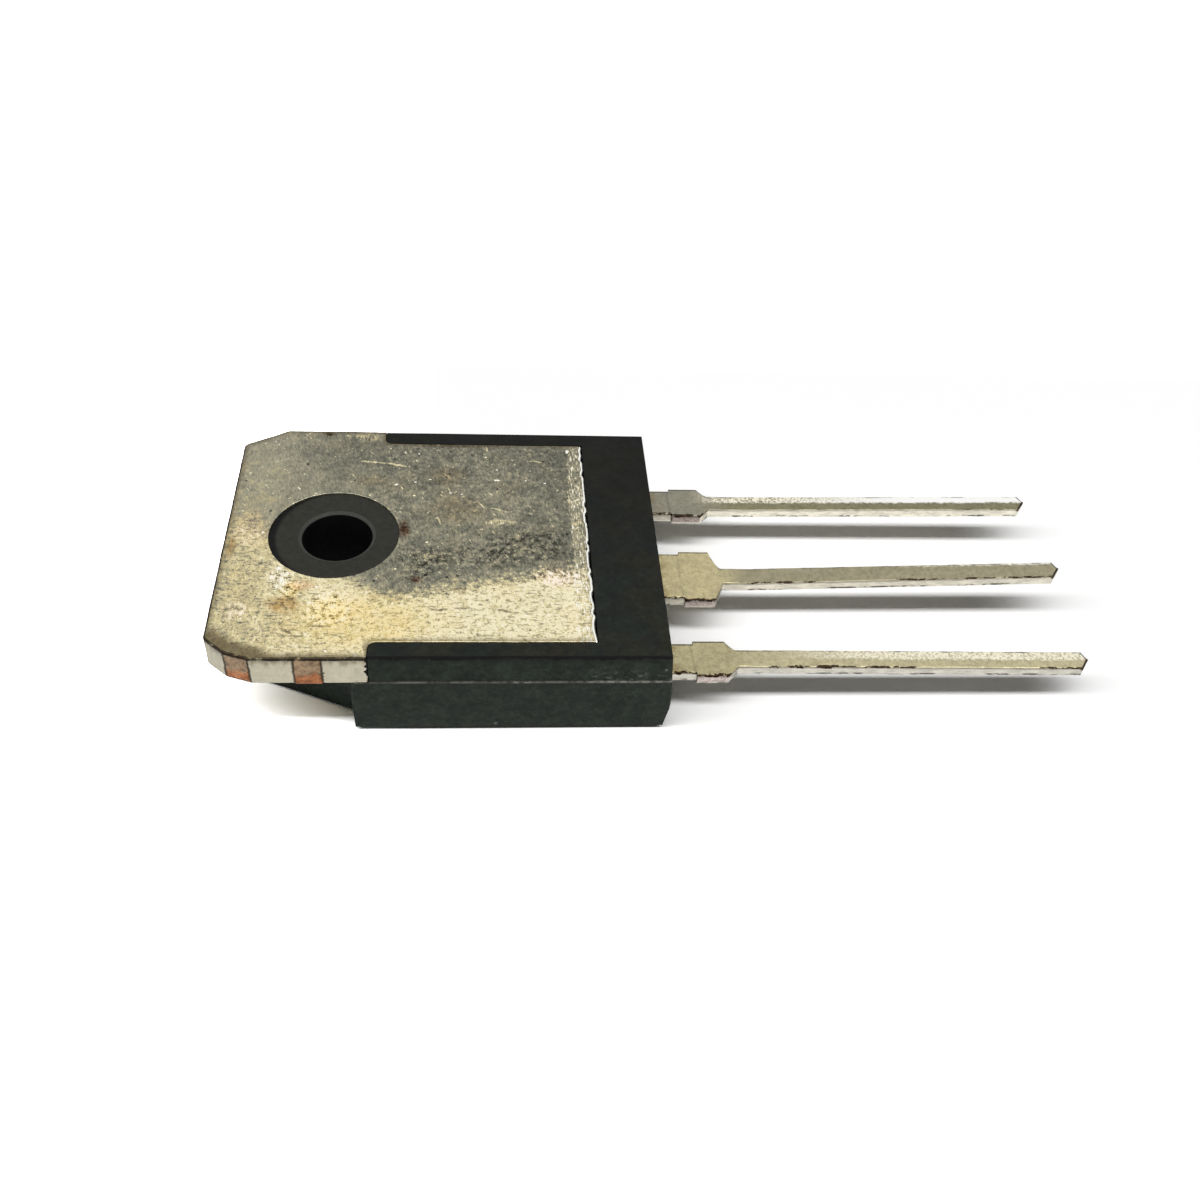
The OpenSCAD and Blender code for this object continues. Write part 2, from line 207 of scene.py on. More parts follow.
class Wire:
    """What one node hands on. Python's + - * and abs() add the Math nodes that work them out."""

    def __init__(self, nodes: Nodes, socket: bpy.types.NodeSocket) -> None:
        """Keeps the socket and the nodes it belongs to."""
        self.nodes, self.socket = nodes, socket

    def __add__(self, other: Plug) -> Wire:
        """Sum."""
        return self.nodes.math("ADD", self, other)

    def __sub__(self, other: Plug) -> Wire:
        """Difference."""
        return self.nodes.math("SUBTRACT", self, other)

    def __rsub__(self, other: Plug) -> Wire:
        """Difference from a number."""
        return self.nodes.math("SUBTRACT", other, self)

    def __mul__(self, other: Plug) -> Wire:
        """Product."""
        return self.nodes.math("MULTIPLY", self, other)

    def __abs__(self) -> Wire:
        """Absolute value."""
        return self.nodes.math("ABSOLUTE", self)


Plug = float | Sequence[float] | Wire
Inputs = dict[int | str, Plug]


class Nodes:
    """Adds nodes to a tree and links them."""

    def __init__(self, tree: bpy.types.NodeTree) -> None:
        """Empties the tree."""
        self.tree = tree
        tree.nodes.clear()

    def plug(self, socket: bpy.types.NodeSocket, value: Plug) -> None:
        """Links a wire to a socket, or sets the socket's value."""
        if isinstance(value, Wire):
            self.tree.links.new(value.socket, socket)
        elif isinstance(value, (int, float)):
            socket.default_value = value
        else:
            socket.default_value = (*value, 1.0)[:len(socket.default_value)]

    def node(self, kind: str, inputs: Inputs | None = None, **settings: object) -> bpy.types.Node:
        """Adds a node, sets its properties and plugs its inputs."""
        made = self.tree.nodes.new(kind)
        for key, value in settings.items():
            setattr(made, key, value)
        for key, value in (inputs or {}).items():
            self.plug(made.inputs[key], value)
        return made

    def wire(self, kind: str, inputs: Inputs | None = None, out: int | str = 0, **settings: object) -> Wire:
        """Adds a node and takes one of its outputs."""
        return Wire(self, self.node(kind, inputs, **settings).outputs[out])

    def math(self, operation: str, *values: Plug) -> Wire:
        """Result of a Math node."""
        return self.wire("ShaderNodeMath", dict(enumerate(values)), operation=operation)

    def larger(self, one: Plug, other: Plug) -> Wire:
        """The larger of two numbers."""
        return self.math("MAXIMUM", one, other)

    def smaller(self, one: Plug, other: Plug) -> Wire:
        """The smaller of two numbers."""
        return self.math("MINIMUM", one, other)


@dataclass(frozen=True)
class Stroke:
    """Fine scratch, cut or pit on the metal back: its middle, length and direction in degrees."""

    x: float
    y: float
    length: float
    turn: float = 0.0

    def ends(self) -> tuple[tuple[float, float, float], tuple[float, float, float]]:
        """Both ends: the middle plus and minus half the length along the direction."""
        along = math.cos(math.radians(self.turn)) * self.length / 2
        aside = math.sin(math.radians(self.turn)) * self.length / 2
        return (self.x - along, self.y - aside, 0.0), (self.x + along, self.y + aside, 0.0)


class FinishNodes(Nodes):
    """Nodes of one finish. Patterns are laid out in millimetres of Object coordinates."""

    def __init__(self, name: str) -> None:
        """Makes a material with a Principled shader and the coordinates in millimetres."""
        self.material = bpy.data.materials.new(name)
        self.material.use_nodes = True
        super().__init__(self.material.node_tree)
        self.skin = self.node("ShaderNodeBsdfPrincipled")
        self.surface = Wire(self, self.skin.outputs["BSDF"])
        self.output = self.node("ShaderNodeOutputMaterial", {"Surface": self.surface})
        metres = self.wire("ShaderNodeTexCoord", out="Object")
        self.place = self.vector("SCALE", metres, scale=1 / MM)
        self.x, self.y, self.z = self.axes(self.place)

    def vector(self, operation: str, *values: Plug, scale: float = 1.0) -> Wire:
        """Result of a Vector Math node: a number for LENGTH and DISTANCE, otherwise a vector."""
        out = "Value" if operation in ("LENGTH", "DISTANCE") else "Vector"
        inputs = {**dict(enumerate(values)), 3: scale}
        return self.wire("ShaderNodeVectorMath", inputs, out, operation=operation)

    def axes(self, at: Plug) -> tuple[Wire, ...]:
        """The three numbers of a vector."""
        return tuple(Wire(self, part) for part in self.node("ShaderNodeSeparateXYZ", {0: at}).outputs)

    def band(self, value: Plug, low: float, high: float, first: float = 0.0, last: float = 1.0) -> Wire:
        """Smooth step of a value: first at low and last at high, where low may be the larger."""
        ends = (high, low, last, first) if low > high else (low, high, first, last)
        inputs = dict(enumerate((value, *ends)))
        return self.wire("ShaderNodeMapRange", inputs, interpolation_type="SMOOTHSTEP")

    def noise(self, scale: float, detail: float = 2.0, roughness: float = 0.5, at: Plug | None = None,
              out: str = "Fac") -> Wire:
        """Noise with the given number of lumps per millimetre, as a number or as a colour."""
        inputs = {"Vector": at or self.place, "Scale": scale, "Detail": detail, "Roughness": roughness}
        return self.wire("ShaderNodeTexNoise", inputs, out)

    def drift(self, scale: float, detail: float, roughness: float) -> Wire:
        """Noise as a vector whose parts run from -0.5 to 0.5."""
        return self.vector("SUBTRACT", self.noise(scale, detail, roughness, out="Color"), (0.5, 0.5, 0.5))

    def specks(self, scale: float, size: float, share: float) -> Wire:
        """Round specks: a cell holds one of up to the size given, in cells, if its draw is below share."""
        cell = self.node("ShaderNodeTexVoronoi", {"Vector": self.place, "Scale": scale})
        draw = self.wire("ShaderNodeSeparateColor", {0: Wire(self, cell.outputs["Color"])})
        reach = self.band(draw, share, 0.0) * size
        return self.band(reach - Wire(self, cell.outputs["Distance"]), 0.0, size * 0.35)

    def stretched(self, x: float, y: float, z: float, turn: float = 0.0) -> Wire:
        """Coordinates turned about Z by some degrees, in which a pattern comes out that much longer."""
        inputs = {"Vector": self.place, "Rotation": (0, 0, math.radians(turn)), "Scale": (x, y, z)}
        return self.wire("ShaderNodeMapping", inputs, vector_type="TEXTURE")

    def blend(self, factor: Plug, below: Plug, above: Plug, how: str = "MIX") -> Wire:
        """Colour above laid over the colour below by the factor."""
        inputs = {0: factor, 6: below, 7: above}
        return self.wire("ShaderNodeMix", inputs, 2, data_type="RGBA", blend_type=how)

    def tinted(self, factor: Plug, colour: Plug, tint: Colour) -> Wire:
        """Colour multiplied by a tint, by the factor."""
        return self.blend(factor, colour, self.blend(1.0, colour, tint, "MULTIPLY"))

    def lerp(self, factor: Plug, below: Plug, above: Plug) -> Wire:
        """Number between below and above: below + factor * (above - below)."""
        return self.wire("ShaderNodeMix", {0: factor, 2: below, 3: above}, data_type="FLOAT")

    def scaled(self, colour: Plug, factor: Plug) -> Wire:
        """Colour times a number."""
        return self.wire("ShaderNodeHueSaturation", {"Color": colour, "Value": factor})

    def shade(self, colour: Plug, factor: Plug, low: float, high: float) -> Wire:
        """Colour multiplied by a grey that runs from low to high as the factor runs from 0 to 1."""
        ends = dict(enumerate((factor, 0.0, 1.0, low, high)))
        return self.scaled(colour, self.wire("ShaderNodeMapRange", ends))

    def mottled(self, colour: Plug, noise: Plug, low: float, high: float) -> Wire:
        """Colour multiplied by a grey that runs from low to high over the noise's usual spread."""
        return self.scaled(colour, self.band(noise, 0.35, 0.65, low, high))

    def ramp(self, value: Plug, stops: Sequence[tuple[float, Colour]]) -> Wire:
        """Colour that runs through the stops as the value rises."""
        made = self.node("ShaderNodeValToRGB", {0: value})
        for _ in stops[2:]:
            made.color_ramp.elements.new(0.5)
        for stop, (place, colour) in zip(made.color_ramp.elements, stops):
            stop.position, stop.color = place, (*colour, 1.0)
        return Wire(self, made.outputs[0])

    def value(self, name: str) -> Wire:
        """Value painted on the mesh under that name."""
        return self.wire("ShaderNodeAttribute", out="Fac", attribute_name=name)

    def strokes(self, group: Sequence[Stroke], at: Plug, width: float) -> Wire:
        """Mask of fine strokes. At a place, a stroke's excess is the sum of the distances to its two
        ends less its length, which is small only close to the stroke; the least excess is kept.

        Args:
            group: The strokes.
            at: Flat coordinates, which may be warped.
            width: Excess at which the mask has faded out.

        Returns:
            Mask from 0 to 1.
        """
        least: Plug = 1.0
        for stroke in group:
            first, last = (self.vector("DISTANCE", at, end) for end in stroke.ends())
            least = self.smaller(least, first - stroke.length + last)
        return self.band(least, width, width * 0.4)

    def finished(self, shader: Inputs, height: Plug, depth: float) -> bpy.types.Material:
        """Ends the finish.

        Args:
            shader: What goes into the shader's inputs.
            height: Height field that the surface is bumped by.
            depth: Depth of the bump at height 1, in millimetres.

        Returns:
            The material.
        """
        bump = self.wire("ShaderNodeBump", {"Height": height, "Distance": depth * MM})
        for key, value in {**shader, "Normal": bump}.items():
            self.plug(self.skin.inputs[key], value)
        return self.material


# ---------------------------------------------------------------- finishes


class Hue(Enum):
    """Tints over the tarnish where the plating is thin or dirty, each the name of a painted value."""

    BROWN = "brown"
    RUST = "rust"
    GOLD = "gold"
    PINK = "pink"
    NONE = "none"


@dataclass(frozen=True)
class Patch:
    """Soft oval patch on the metal back: its middle, half lengths, lift of the tone, tint and the glow
    of its painted glints.
    """

    x: float
    y: float
    half_x: float
    half_y: float
    lift: float = 0.0
    hue: Hue = Hue.NONE
    tint: float = 0.0
    glow: float = 0.0  # how strongly painted crystal glints flash there

    def cover(self, x: np.ndarray, y: np.ndarray) -> np.ndarray:
        """Strength from 1 in the middle to 0 at the border, by the distance in half lengths."""
        return ease(1.0, 0.3, np.hypot((x - self.x) / self.half_x, (y - self.y) / self.half_y))


@dataclass(frozen=True)
class TinnedBack:
    """Worn tin plating on the copper heat spreader. One tone runs from dark oxide over grey and
    olive to cream and bright metal, and patches, scratches and pits move that tone up or down. The
    bright near part is partly tarnish and partly a painted reflection, and glints and sparkle on
    the tone are painted highlights."""

    tones: tuple[tuple[float, Colour], ...] = (
        (0.0, paint(28, 24, 18)), (0.2, paint(75, 75, 66)), (0.38, paint(120, 119, 104)),
        (0.55, paint(166, 161, 138)), (0.68, paint(200, 187, 144)), (0.8, paint(226, 213, 166)),
        (0.9, paint(244, 236, 202)), (1.0, paint(255, 255, 248)))
    tints: tuple[tuple[Hue, Colour], ...] = (
        (Hue.BROWN, (0.74, 0.58, 0.42)), (Hue.RUST, (0.5, 0.27, 0.2)), (Hue.GOLD, (1.0, 0.86, 0.52)),
        (Hue.PINK, (1.0, 0.86, 0.82)))
    warm: Colour = (1.0, 0.9, 0.76)
    side_tin: Colour = paint(198, 192, 170)
    grime: Colour = paint(96, 84, 60)
    edge: Colour = paint(34, 29, 22)
    copper: Colour = paint(169, 112, 76)
    dull_copper: Colour = paint(151, 128, 103)
    black: Colour = paint(18, 19, 18)
    roughness: float = 0.26  # plus up to 0.16 on the lumps
    margin_x: float = 10.72  # where the paler strip along the pad's end begins
    dull_z: tuple[float, float] = (4.15, 4.45)  # where the bare copper turns dull, going up
    body_x: float = 2.04  # where the moulding begins along the sides
    # painted highlights: small bright glints on the metal back
    glints: tuple[Stroke, ...] = (
        Stroke(4.4, 6.7, 0.05), Stroke(3.5, 6.0, 0.05), Stroke(4.1, 4.0, 0.1), Stroke(3.4, 3.8, 0.05),
        Stroke(7.3, 4.8, 0.06), Stroke(7.3, 4.0, 0.25), Stroke(10.8, 6.3, 0.2, 80), Stroke(8.7, 4.0, 0.06),
        Stroke(5.1, 3.0, 0.08), Stroke(5.6, 2.9, 0.06), Stroke(2.5, 3.6, 0.15, 20),
        Stroke(-3.5, 6.8, 0.05), Stroke(9.6, 3.8, 0.05))
    scratches: tuple[Stroke, ...] = (
        Stroke(1.3, 5.3, 1.2, -7), Stroke(2.5, 5.1, 1.3, -15), Stroke(6.5, 2.2, 0.6, -51),
        Stroke(7.4, 1.8, 0.9, -21), Stroke(4.9, 4.3, 0.5, -53), Stroke(4.6, 1.0, 0.6, -72),
        Stroke(6.8, 6.5, 0.5, -78), Stroke(9.2, 5.5, 0.7, -11), Stroke(10.7, 2.6, 0.7, -88),
        Stroke(11.0, 2.5, 0.6, 35))
    cuts: tuple[Stroke, ...] = (
        Stroke(5.6, -3.6, 0.7, 3), Stroke(4.7, -4.9, 0.7), Stroke(5.8, -4.8, 0.8, 2),
        Stroke(7.7, -5.0, 0.9, -14), Stroke(-1.6, -6.2, 0.7, -32), Stroke(-1.2, -6.5, 0.6, -4),
        Stroke(-0.2, -5.9, 0.9), Stroke(-2.3, -5.3, 0.2, 10), Stroke(5.6, -5.7, 0.1),
        Stroke(1.7, -3.9, 0.15, 20), Stroke(0.9, 2.5, 0.3, -40), Stroke(-4.2, 6.2, 0.1))

    def broad_tone(self, n: FinishNodes, x: Wire, y: Wire) -> Wire:
        """Broad tone of the back: grey over the far part, darker towards the leads, and a bright near
        part whose border runs at y = max(-2.2 - 0.73 x, -4.5 + 0.21 x). This split is partly the
        tarnish and partly a painted reflection of the light.

        Args:
            n: Nodes of the finish.
            x: Warped place along the part.
            y: Warped place across it.

        Returns:
            Tone from 0 to 1.
        """
        far = n.band(n.x, -4.5, 1.0, 0.5, 0.37) + n.band(n.y, 6.5, 2.0, 0.0, 0.05)
        far = far - n.band(n.x, 7.5, 10.5, 0.0, 0.05)
        border = n.larger(x * -0.73 - 2.2, x * 0.21 - 4.5)
        # the bright near part: partly tarnish, partly a painted reflection of the light
        near = n.band(border - y, -0.5, 0.9)
        tone = n.lerp(near, far, n.band(n.x, -5.0, 2.5, 0.71, 0.92))
        tone = tone + n.value("lift") * n.band(n.noise(4.0, 4, 0.8), 0.4, 0.6, 0.3, 1.7)
        margin = n.band(n.x + x * 0.12, self.margin_x + 1.25, self.margin_x + 1.4)
        return tone + margin * (near * -0.2 + 0.1)

    def fine_tone(self, n: FinishNodes, tone: Wire, grit: Wire, lumps: Wire, flat: Wire) -> Wire:
        """Fine marks over the broad tone: grit that is strongest on the patches, dark flecks and pits,
        painted sparkle where the metal is dark, painted glints and flare, scratches and the streaks
        of the margin.

        Args:
            n: Nodes of the finish.
            tone: Broad tone.
            grit: Fine noise.
            lumps: Coarser noise.
            flat: Frayed coordinates in the plane of the back.

        Returns:
            Tone of the worn metal.
        """
        # glow sets how strongly the painted crystal glints flash
        glow, lift = n.value("glow"), n.value("lift")
        brushed = n.noise(9.0, 2, 0.6, n.stretched(0.7, 2.6, 1.0, 12))
        near = n.band(tone, 0.5, 0.7)
        turning = n.band(abs(tone - 0.56), 0.14, 0.04, 0.0, 0.7) * n.band(n.x, 0.5, 2.5)
        patchy = n.larger(n.band(abs(lift), 0.02, 0.12, 0.0, 0.8), turning)
        strength = glow * 2.2 + near * 0.4 + patchy + n.band(n.x, -1.0, 3.0, 0.24, 0.6)
        tone = tone + (grit * 1.45 - 0.725) * strength + lumps * 0.3 + brushed * 0.4 - 0.35
        tone = n.smaller(tone, glow * 0.15 + 0.9)

        dashes = n.band(n.noise(7.0, 2, 0.55, n.stretched(3.2, 0.7, 1.0, -3)), 0.42, 0.3)
        tone = tone - n.larger(dashes, n.band(n.noise(5.0, 4, 0.8), 0.47, 0.38)) * near * 0.34
        # dark specks, then small bright specks that are painted glints
        tone = tone - n.specks(2.2, 0.2, 0.55) * 0.3 + n.specks(1.5, 0.13, 0.5) * 0.5
        # painted sparkle: bright crystal glints where the metal is dark
        painted_sparkle = n.larger(n.noise(4.0, 2, 0.7, n.stretched(0.5, 1.8, 1.0, 35)),
                          n.noise(4.4, 2, 0.7, n.stretched(0.5, 1.6, 1.0, -50)))
        tone = tone + n.band(painted_sparkle, 0.65, 0.74) * n.band(near, 1.0, 0.0, 0.1, 0.45)
        # painted highlight: a brushed flare on the lifted patches
        tone = tone + n.band(lift, 0.06, 0.15) * n.band(brushed, 0.5, 0.62) * 0.22
        tone = tone + n.strokes(self.glints, flat, 0.045)
        tone = tone + n.strokes(self.scratches, flat, 0.01) * n.band(grit, 0.36, 0.56, 0.25, 1.0) * 0.42
        margin = n.band(n.x + lumps * 0.5, self.margin_x + 0.15, self.margin_x + 0.3)
        streaks = n.noise(6.0, 3, 0.7, n.stretched(0.35, 2.2, 1.0))
        return tone + margin * n.band(streaks, 0.53, 0.66, 0.0, 0.6)

    def material(self) -> bpy.types.Material:
        """The finish as a node material."""
        n = FinishNodes("tinned_back")
        frayed = n.drift(5.0, 3, 0.7)
        ragged = n.vector("ADD", n.place, n.vector("SCALE", n.drift(0.9, 3, 0.6), scale=0.9))
        ragged = n.vector("ADD", ragged, n.vector("SCALE", frayed, scale=2.2))
        flat = n.vector("ADD", n.place, n.vector("SCALE", frayed, scale=0.2))
        flat = n.vector("MULTIPLY", flat, (1.0, 1.0, 0.0))
        grit, lumps, fray = n.noise(3.6, 5, 0.85), n.noise(1.4, 3, 0.6), n.noise(3.2, 3, 0.7)
        tone = self.fine_tone(n, self.broad_tone(n, *n.axes(ragged)[:2]), grit, lumps, flat)

        colour = n.ramp(tone, self.tones)
        for hue, tint in self.tints:
            share = n.value(hue.value) * n.band(fray, 0.25, 0.6, 0.5, 1.3)
            colour = n.tinted(share, colour, tint)
        colour = n.tinted(n.band(n.noise(0.7, 3, 0.6), 0.45, 0.75, 0.0, 0.35), colour, self.warm)
        cut = n.strokes(self.cuts, flat, 0.02) * n.band(grit, 0.38, 0.56)
        colour = n.blend(cut * 0.75, colour, self.grime)
        dirt = n.band(n.value("grime") * (fray + 0.5) - n.value("rim"), -0.35, 0.12)
        colour = n.blend(dirt * 0.85, colour, n.shade(self.grime, fray, 0.5, 1.5))
        colour = n.blend(n.value("wall"), colour, self.wall_colour(n, grit))
        line = n.value("outline") * (n.noise(2.4, 3, 0.75) * 2.0 - 0.2)
        colour = n.blend(n.band(line, 0.3, 0.75, 0.0, 0.95), colour, n.shade(self.edge, fray, 0.4, 1.6))
        # painted highlight: a ragged white line along the pad's end, where its edge catches the light
        shine = n.value("shine") + n.noise(4.5, 3, 0.7) * 0.8
        colour = n.blend(n.band(shine, 0.8, 0.9), colour, self.tones[-1][1])
        rough = lumps * 0.16 + self.roughness
        return n.finished({"Base Color": colour, "Metallic": 1.0, "Roughness": rough},
                          grit * 0.5 + lumps, 0.02)

    def wall_colour(self, n: FinishNodes, grit: Wire) -> Wire:
        """Sheared side: pale tin with dark specks, copper where the strip was cut, and a smear of
        the black moulding where the body begins."""
        rise = n.z + n.noise(2.4, 3, 0.65, n.stretched(0.6, 0.6, 2.0))
        tin = n.shade(self.side_tin, n.noise(3, 4, 0.75), 0.66, 1.28)
        tin = n.blend(n.specks(2.3, 0.22, 0.4) * 0.8, tin, self.grime)
        # darker band along the top of the side, in the grime colour
        tin = n.blend(n.band(rise, 4.75, 5.25) * 0.6, tin, self.grime)
        bare = n.mottled(n.blend(n.band(rise, *self.dull_z), self.copper, self.dull_copper),
                         n.noise(3.5, 4, 0.75), 0.6, 1.3)
        share = n.value("copper") + n.noise(2.6, 4, 0.75) - 1.0
        tin = n.blend(n.band(share, -0.08, 0.08), tin, bare)
        tin = n.blend(n.band(abs(share), 0.32, 0.12) * 0.85, tin, self.edge)
        tongue = n.x + n.noise(3.2, 3, 0.7) * 0.55
        moulding = n.band(tongue, self.body_x - 0.02, self.body_x + 0.02)
        return n.blend(moulding, tin, n.shade(self.black, grit, 0.6, 1.4))


class Frost(Enum):
    """Where the bright band of frosted tin and painted highlight begins on a lead's top, from -1 at
    the near edge to 1 at the far.
    """

    WIDE = -0.05
    MIDDLING = 0.0
    NARROW = 0.72


@dataclass(frozen=True)
class TinnedLead:
    """Hot-dipped tin on a stamped lead: olive along its middle, a bright band along the far edge that
    is partly frosted tin and partly a painted highlight, sheared sides with copper showing where the
    dam bar was cut, and broken oxide lines."""

    name: str
    body: Colour
    root: Colour
    frost_and_highlight: Frost
    frost_x: tuple[float, float]  # where the band starts along the lead and where it is full
    white_x: tuple[float, float]  # where it turns white
    cracks: tuple[tuple[float, float, float], ...]  # start, end and half width of the oxide lines
    side_tin: Colour
    cream: Colour = paint(252, 246, 224)
    white: Colour = paint(255, 254, 250)
    oxide: Colour = paint(40, 30, 20)
    rust: Colour = paint(128, 104, 66)
    dull_copper: Colour = paint(208, 193, 186)
    roughness: float = 0.2  # plus up to 0.2 on the grit
    fold_x: float = 16.15
    root_x: tuple[float, float] = (17.5, 19.5)  # over which the root's colour gives way to the body's

    def top_colour(self, n: FinishNodes, grit: Wire) -> Wire:
        """Top of the lead: olive tin, rusty near the body, with a fold line and the bright band of
        frosted tin and painted highlight.
        """
        lumps = n.noise(1.6, 3, 0.6, n.stretched(2, 1, 1))
        colour = n.blend(n.band(n.x, *self.root_x), self.root, self.body)
        colour = n.scaled(colour, n.band(grit, 0.36, 0.64, 0.84, 1.16))
        colour = n.shade(colour, lumps, 0.8, 1.2)
        stain = n.band(n.x, 15.9, 15.0) * n.band(n.noise(2.2, 3, 0.75), 0.42, 0.6, 0.0, 0.6)
        colour = n.blend(stain, colour, self.rust)
        fold = abs(n.x + lumps * 0.2 - self.fold_x)
        colour = n.scaled(colour, n.band(fold, 0.03, 0.08, 0.84, 1.0))
        # the bright band along the far edge: frosted tin and a painted highlight, whiter along the lead
        across = n.value("across") + (n.noise(4.5, 4, 0.8) - 0.5) * 0.8
        inside = n.band(across, self.frost_and_highlight.value - 0.15, self.frost_and_highlight.value + 0.15)
        crystals = n.blend(n.band(n.noise(8.0, 3, 0.8), 0.38, 0.56), self.body, self.cream)
        whiter = n.band(n.x + grit * 3 - 1.5, *self.white_x)
        return n.blend(inside * n.band(n.x, *self.frost_x), colour, n.blend(whiter, crystals, self.white))

    def side_colour(self, n: FinishNodes, edge: Wire, streaks: Wire) -> Wire:
        """Sheared side: streaked tin with a broken dark line, and dull copper where the bar was cut."""
        tin = n.mottled(self.side_tin, n.noise(4, 4, 0.8, streaks), 0.78, 1.12)
        nicks = n.band(abs(edge + 0.43), 0.1, 0.04) * n.band(n.noise(1.6, 4, 0.85, streaks), 0.52, 0.58)
        tin = n.blend(nicks * 0.85, tin, self.oxide)
        ragged = n.band(n.value("copper") + n.noise(5, 2, 0.5) * 0.5, 0.7, 0.85)
        bare = n.scaled(self.dull_copper, n.band(n.noise(7, 3, 0.8), 0.4, 0.6, 0.62, 1.1))
        return n.blend(ragged * n.band(edge, -0.5, -0.3), tin, bare)

    def crack_mask(self, n: FinishNodes, edge: Wire) -> Wire:
        """Mask of the oxide lines: 1 where the wobbling way from the near edge is below the width."""
        width: Plug = 0.0
        for start, stop, half in self.cracks:
            here = n.band(n.x, start - 0.1, start + 0.1) * n.band(n.x, stop + 0.1, stop - 0.1)
            width = n.larger(width, here * half)
        width = width * n.band(n.noise(2.6, 3, 0.8, n.stretched(1.6, 1, 1)), 0.38, 0.62, 0.1, 1.5)
        away = abs(edge + n.noise(2.2, 3, 0.7) * 0.16 - 0.1)
        return n.band(width - away, -0.012, 0.012)

    def material(self) -> bpy.types.Material:
        """The finish as a node material."""
        n = FinishNodes(self.name)
        edge, streaks, grit = n.value("edge"), n.stretched(3.5, 1, 1), n.noise(4.5, 4, 0.85)
        # painted shade: the top darkens towards the near upper edge, dimming the highlight it catches
        colour = n.scaled(self.top_colour(n, grit), n.band(edge, 0.0, 0.12, 0.72, 1.0))
        colour = n.blend(n.value("top"), self.side_colour(n, edge, streaks), colour)
        rough = n.noise(2.4, 3, 0.8, streaks) + n.band(n.x, 18.2, 17.6, 0.0, 0.12)
        far_rim = n.band(n.value("far_edge"), 0.17, 0.13) * n.band(rough, 0.5, 0.58) * 0.75
        # painted shade along the near upper edge, in the oxide colour
        near_edge_shade = n.band(abs(edge + 0.03), 0.1, 0.03, 0.0, 0.45)
        for mask in (near_edge_shade, self.crack_mask(n, edge), far_rim, n.value("tip")):
            colour = n.blend(mask, colour, self.oxide)
        rough = grit * 0.2 + self.roughness
        return n.finished({"Base Color": colour, "Metallic": 1.0, "Roughness": rough},
                          n.noise(6, 3, 0.6, streaks), 0.015)


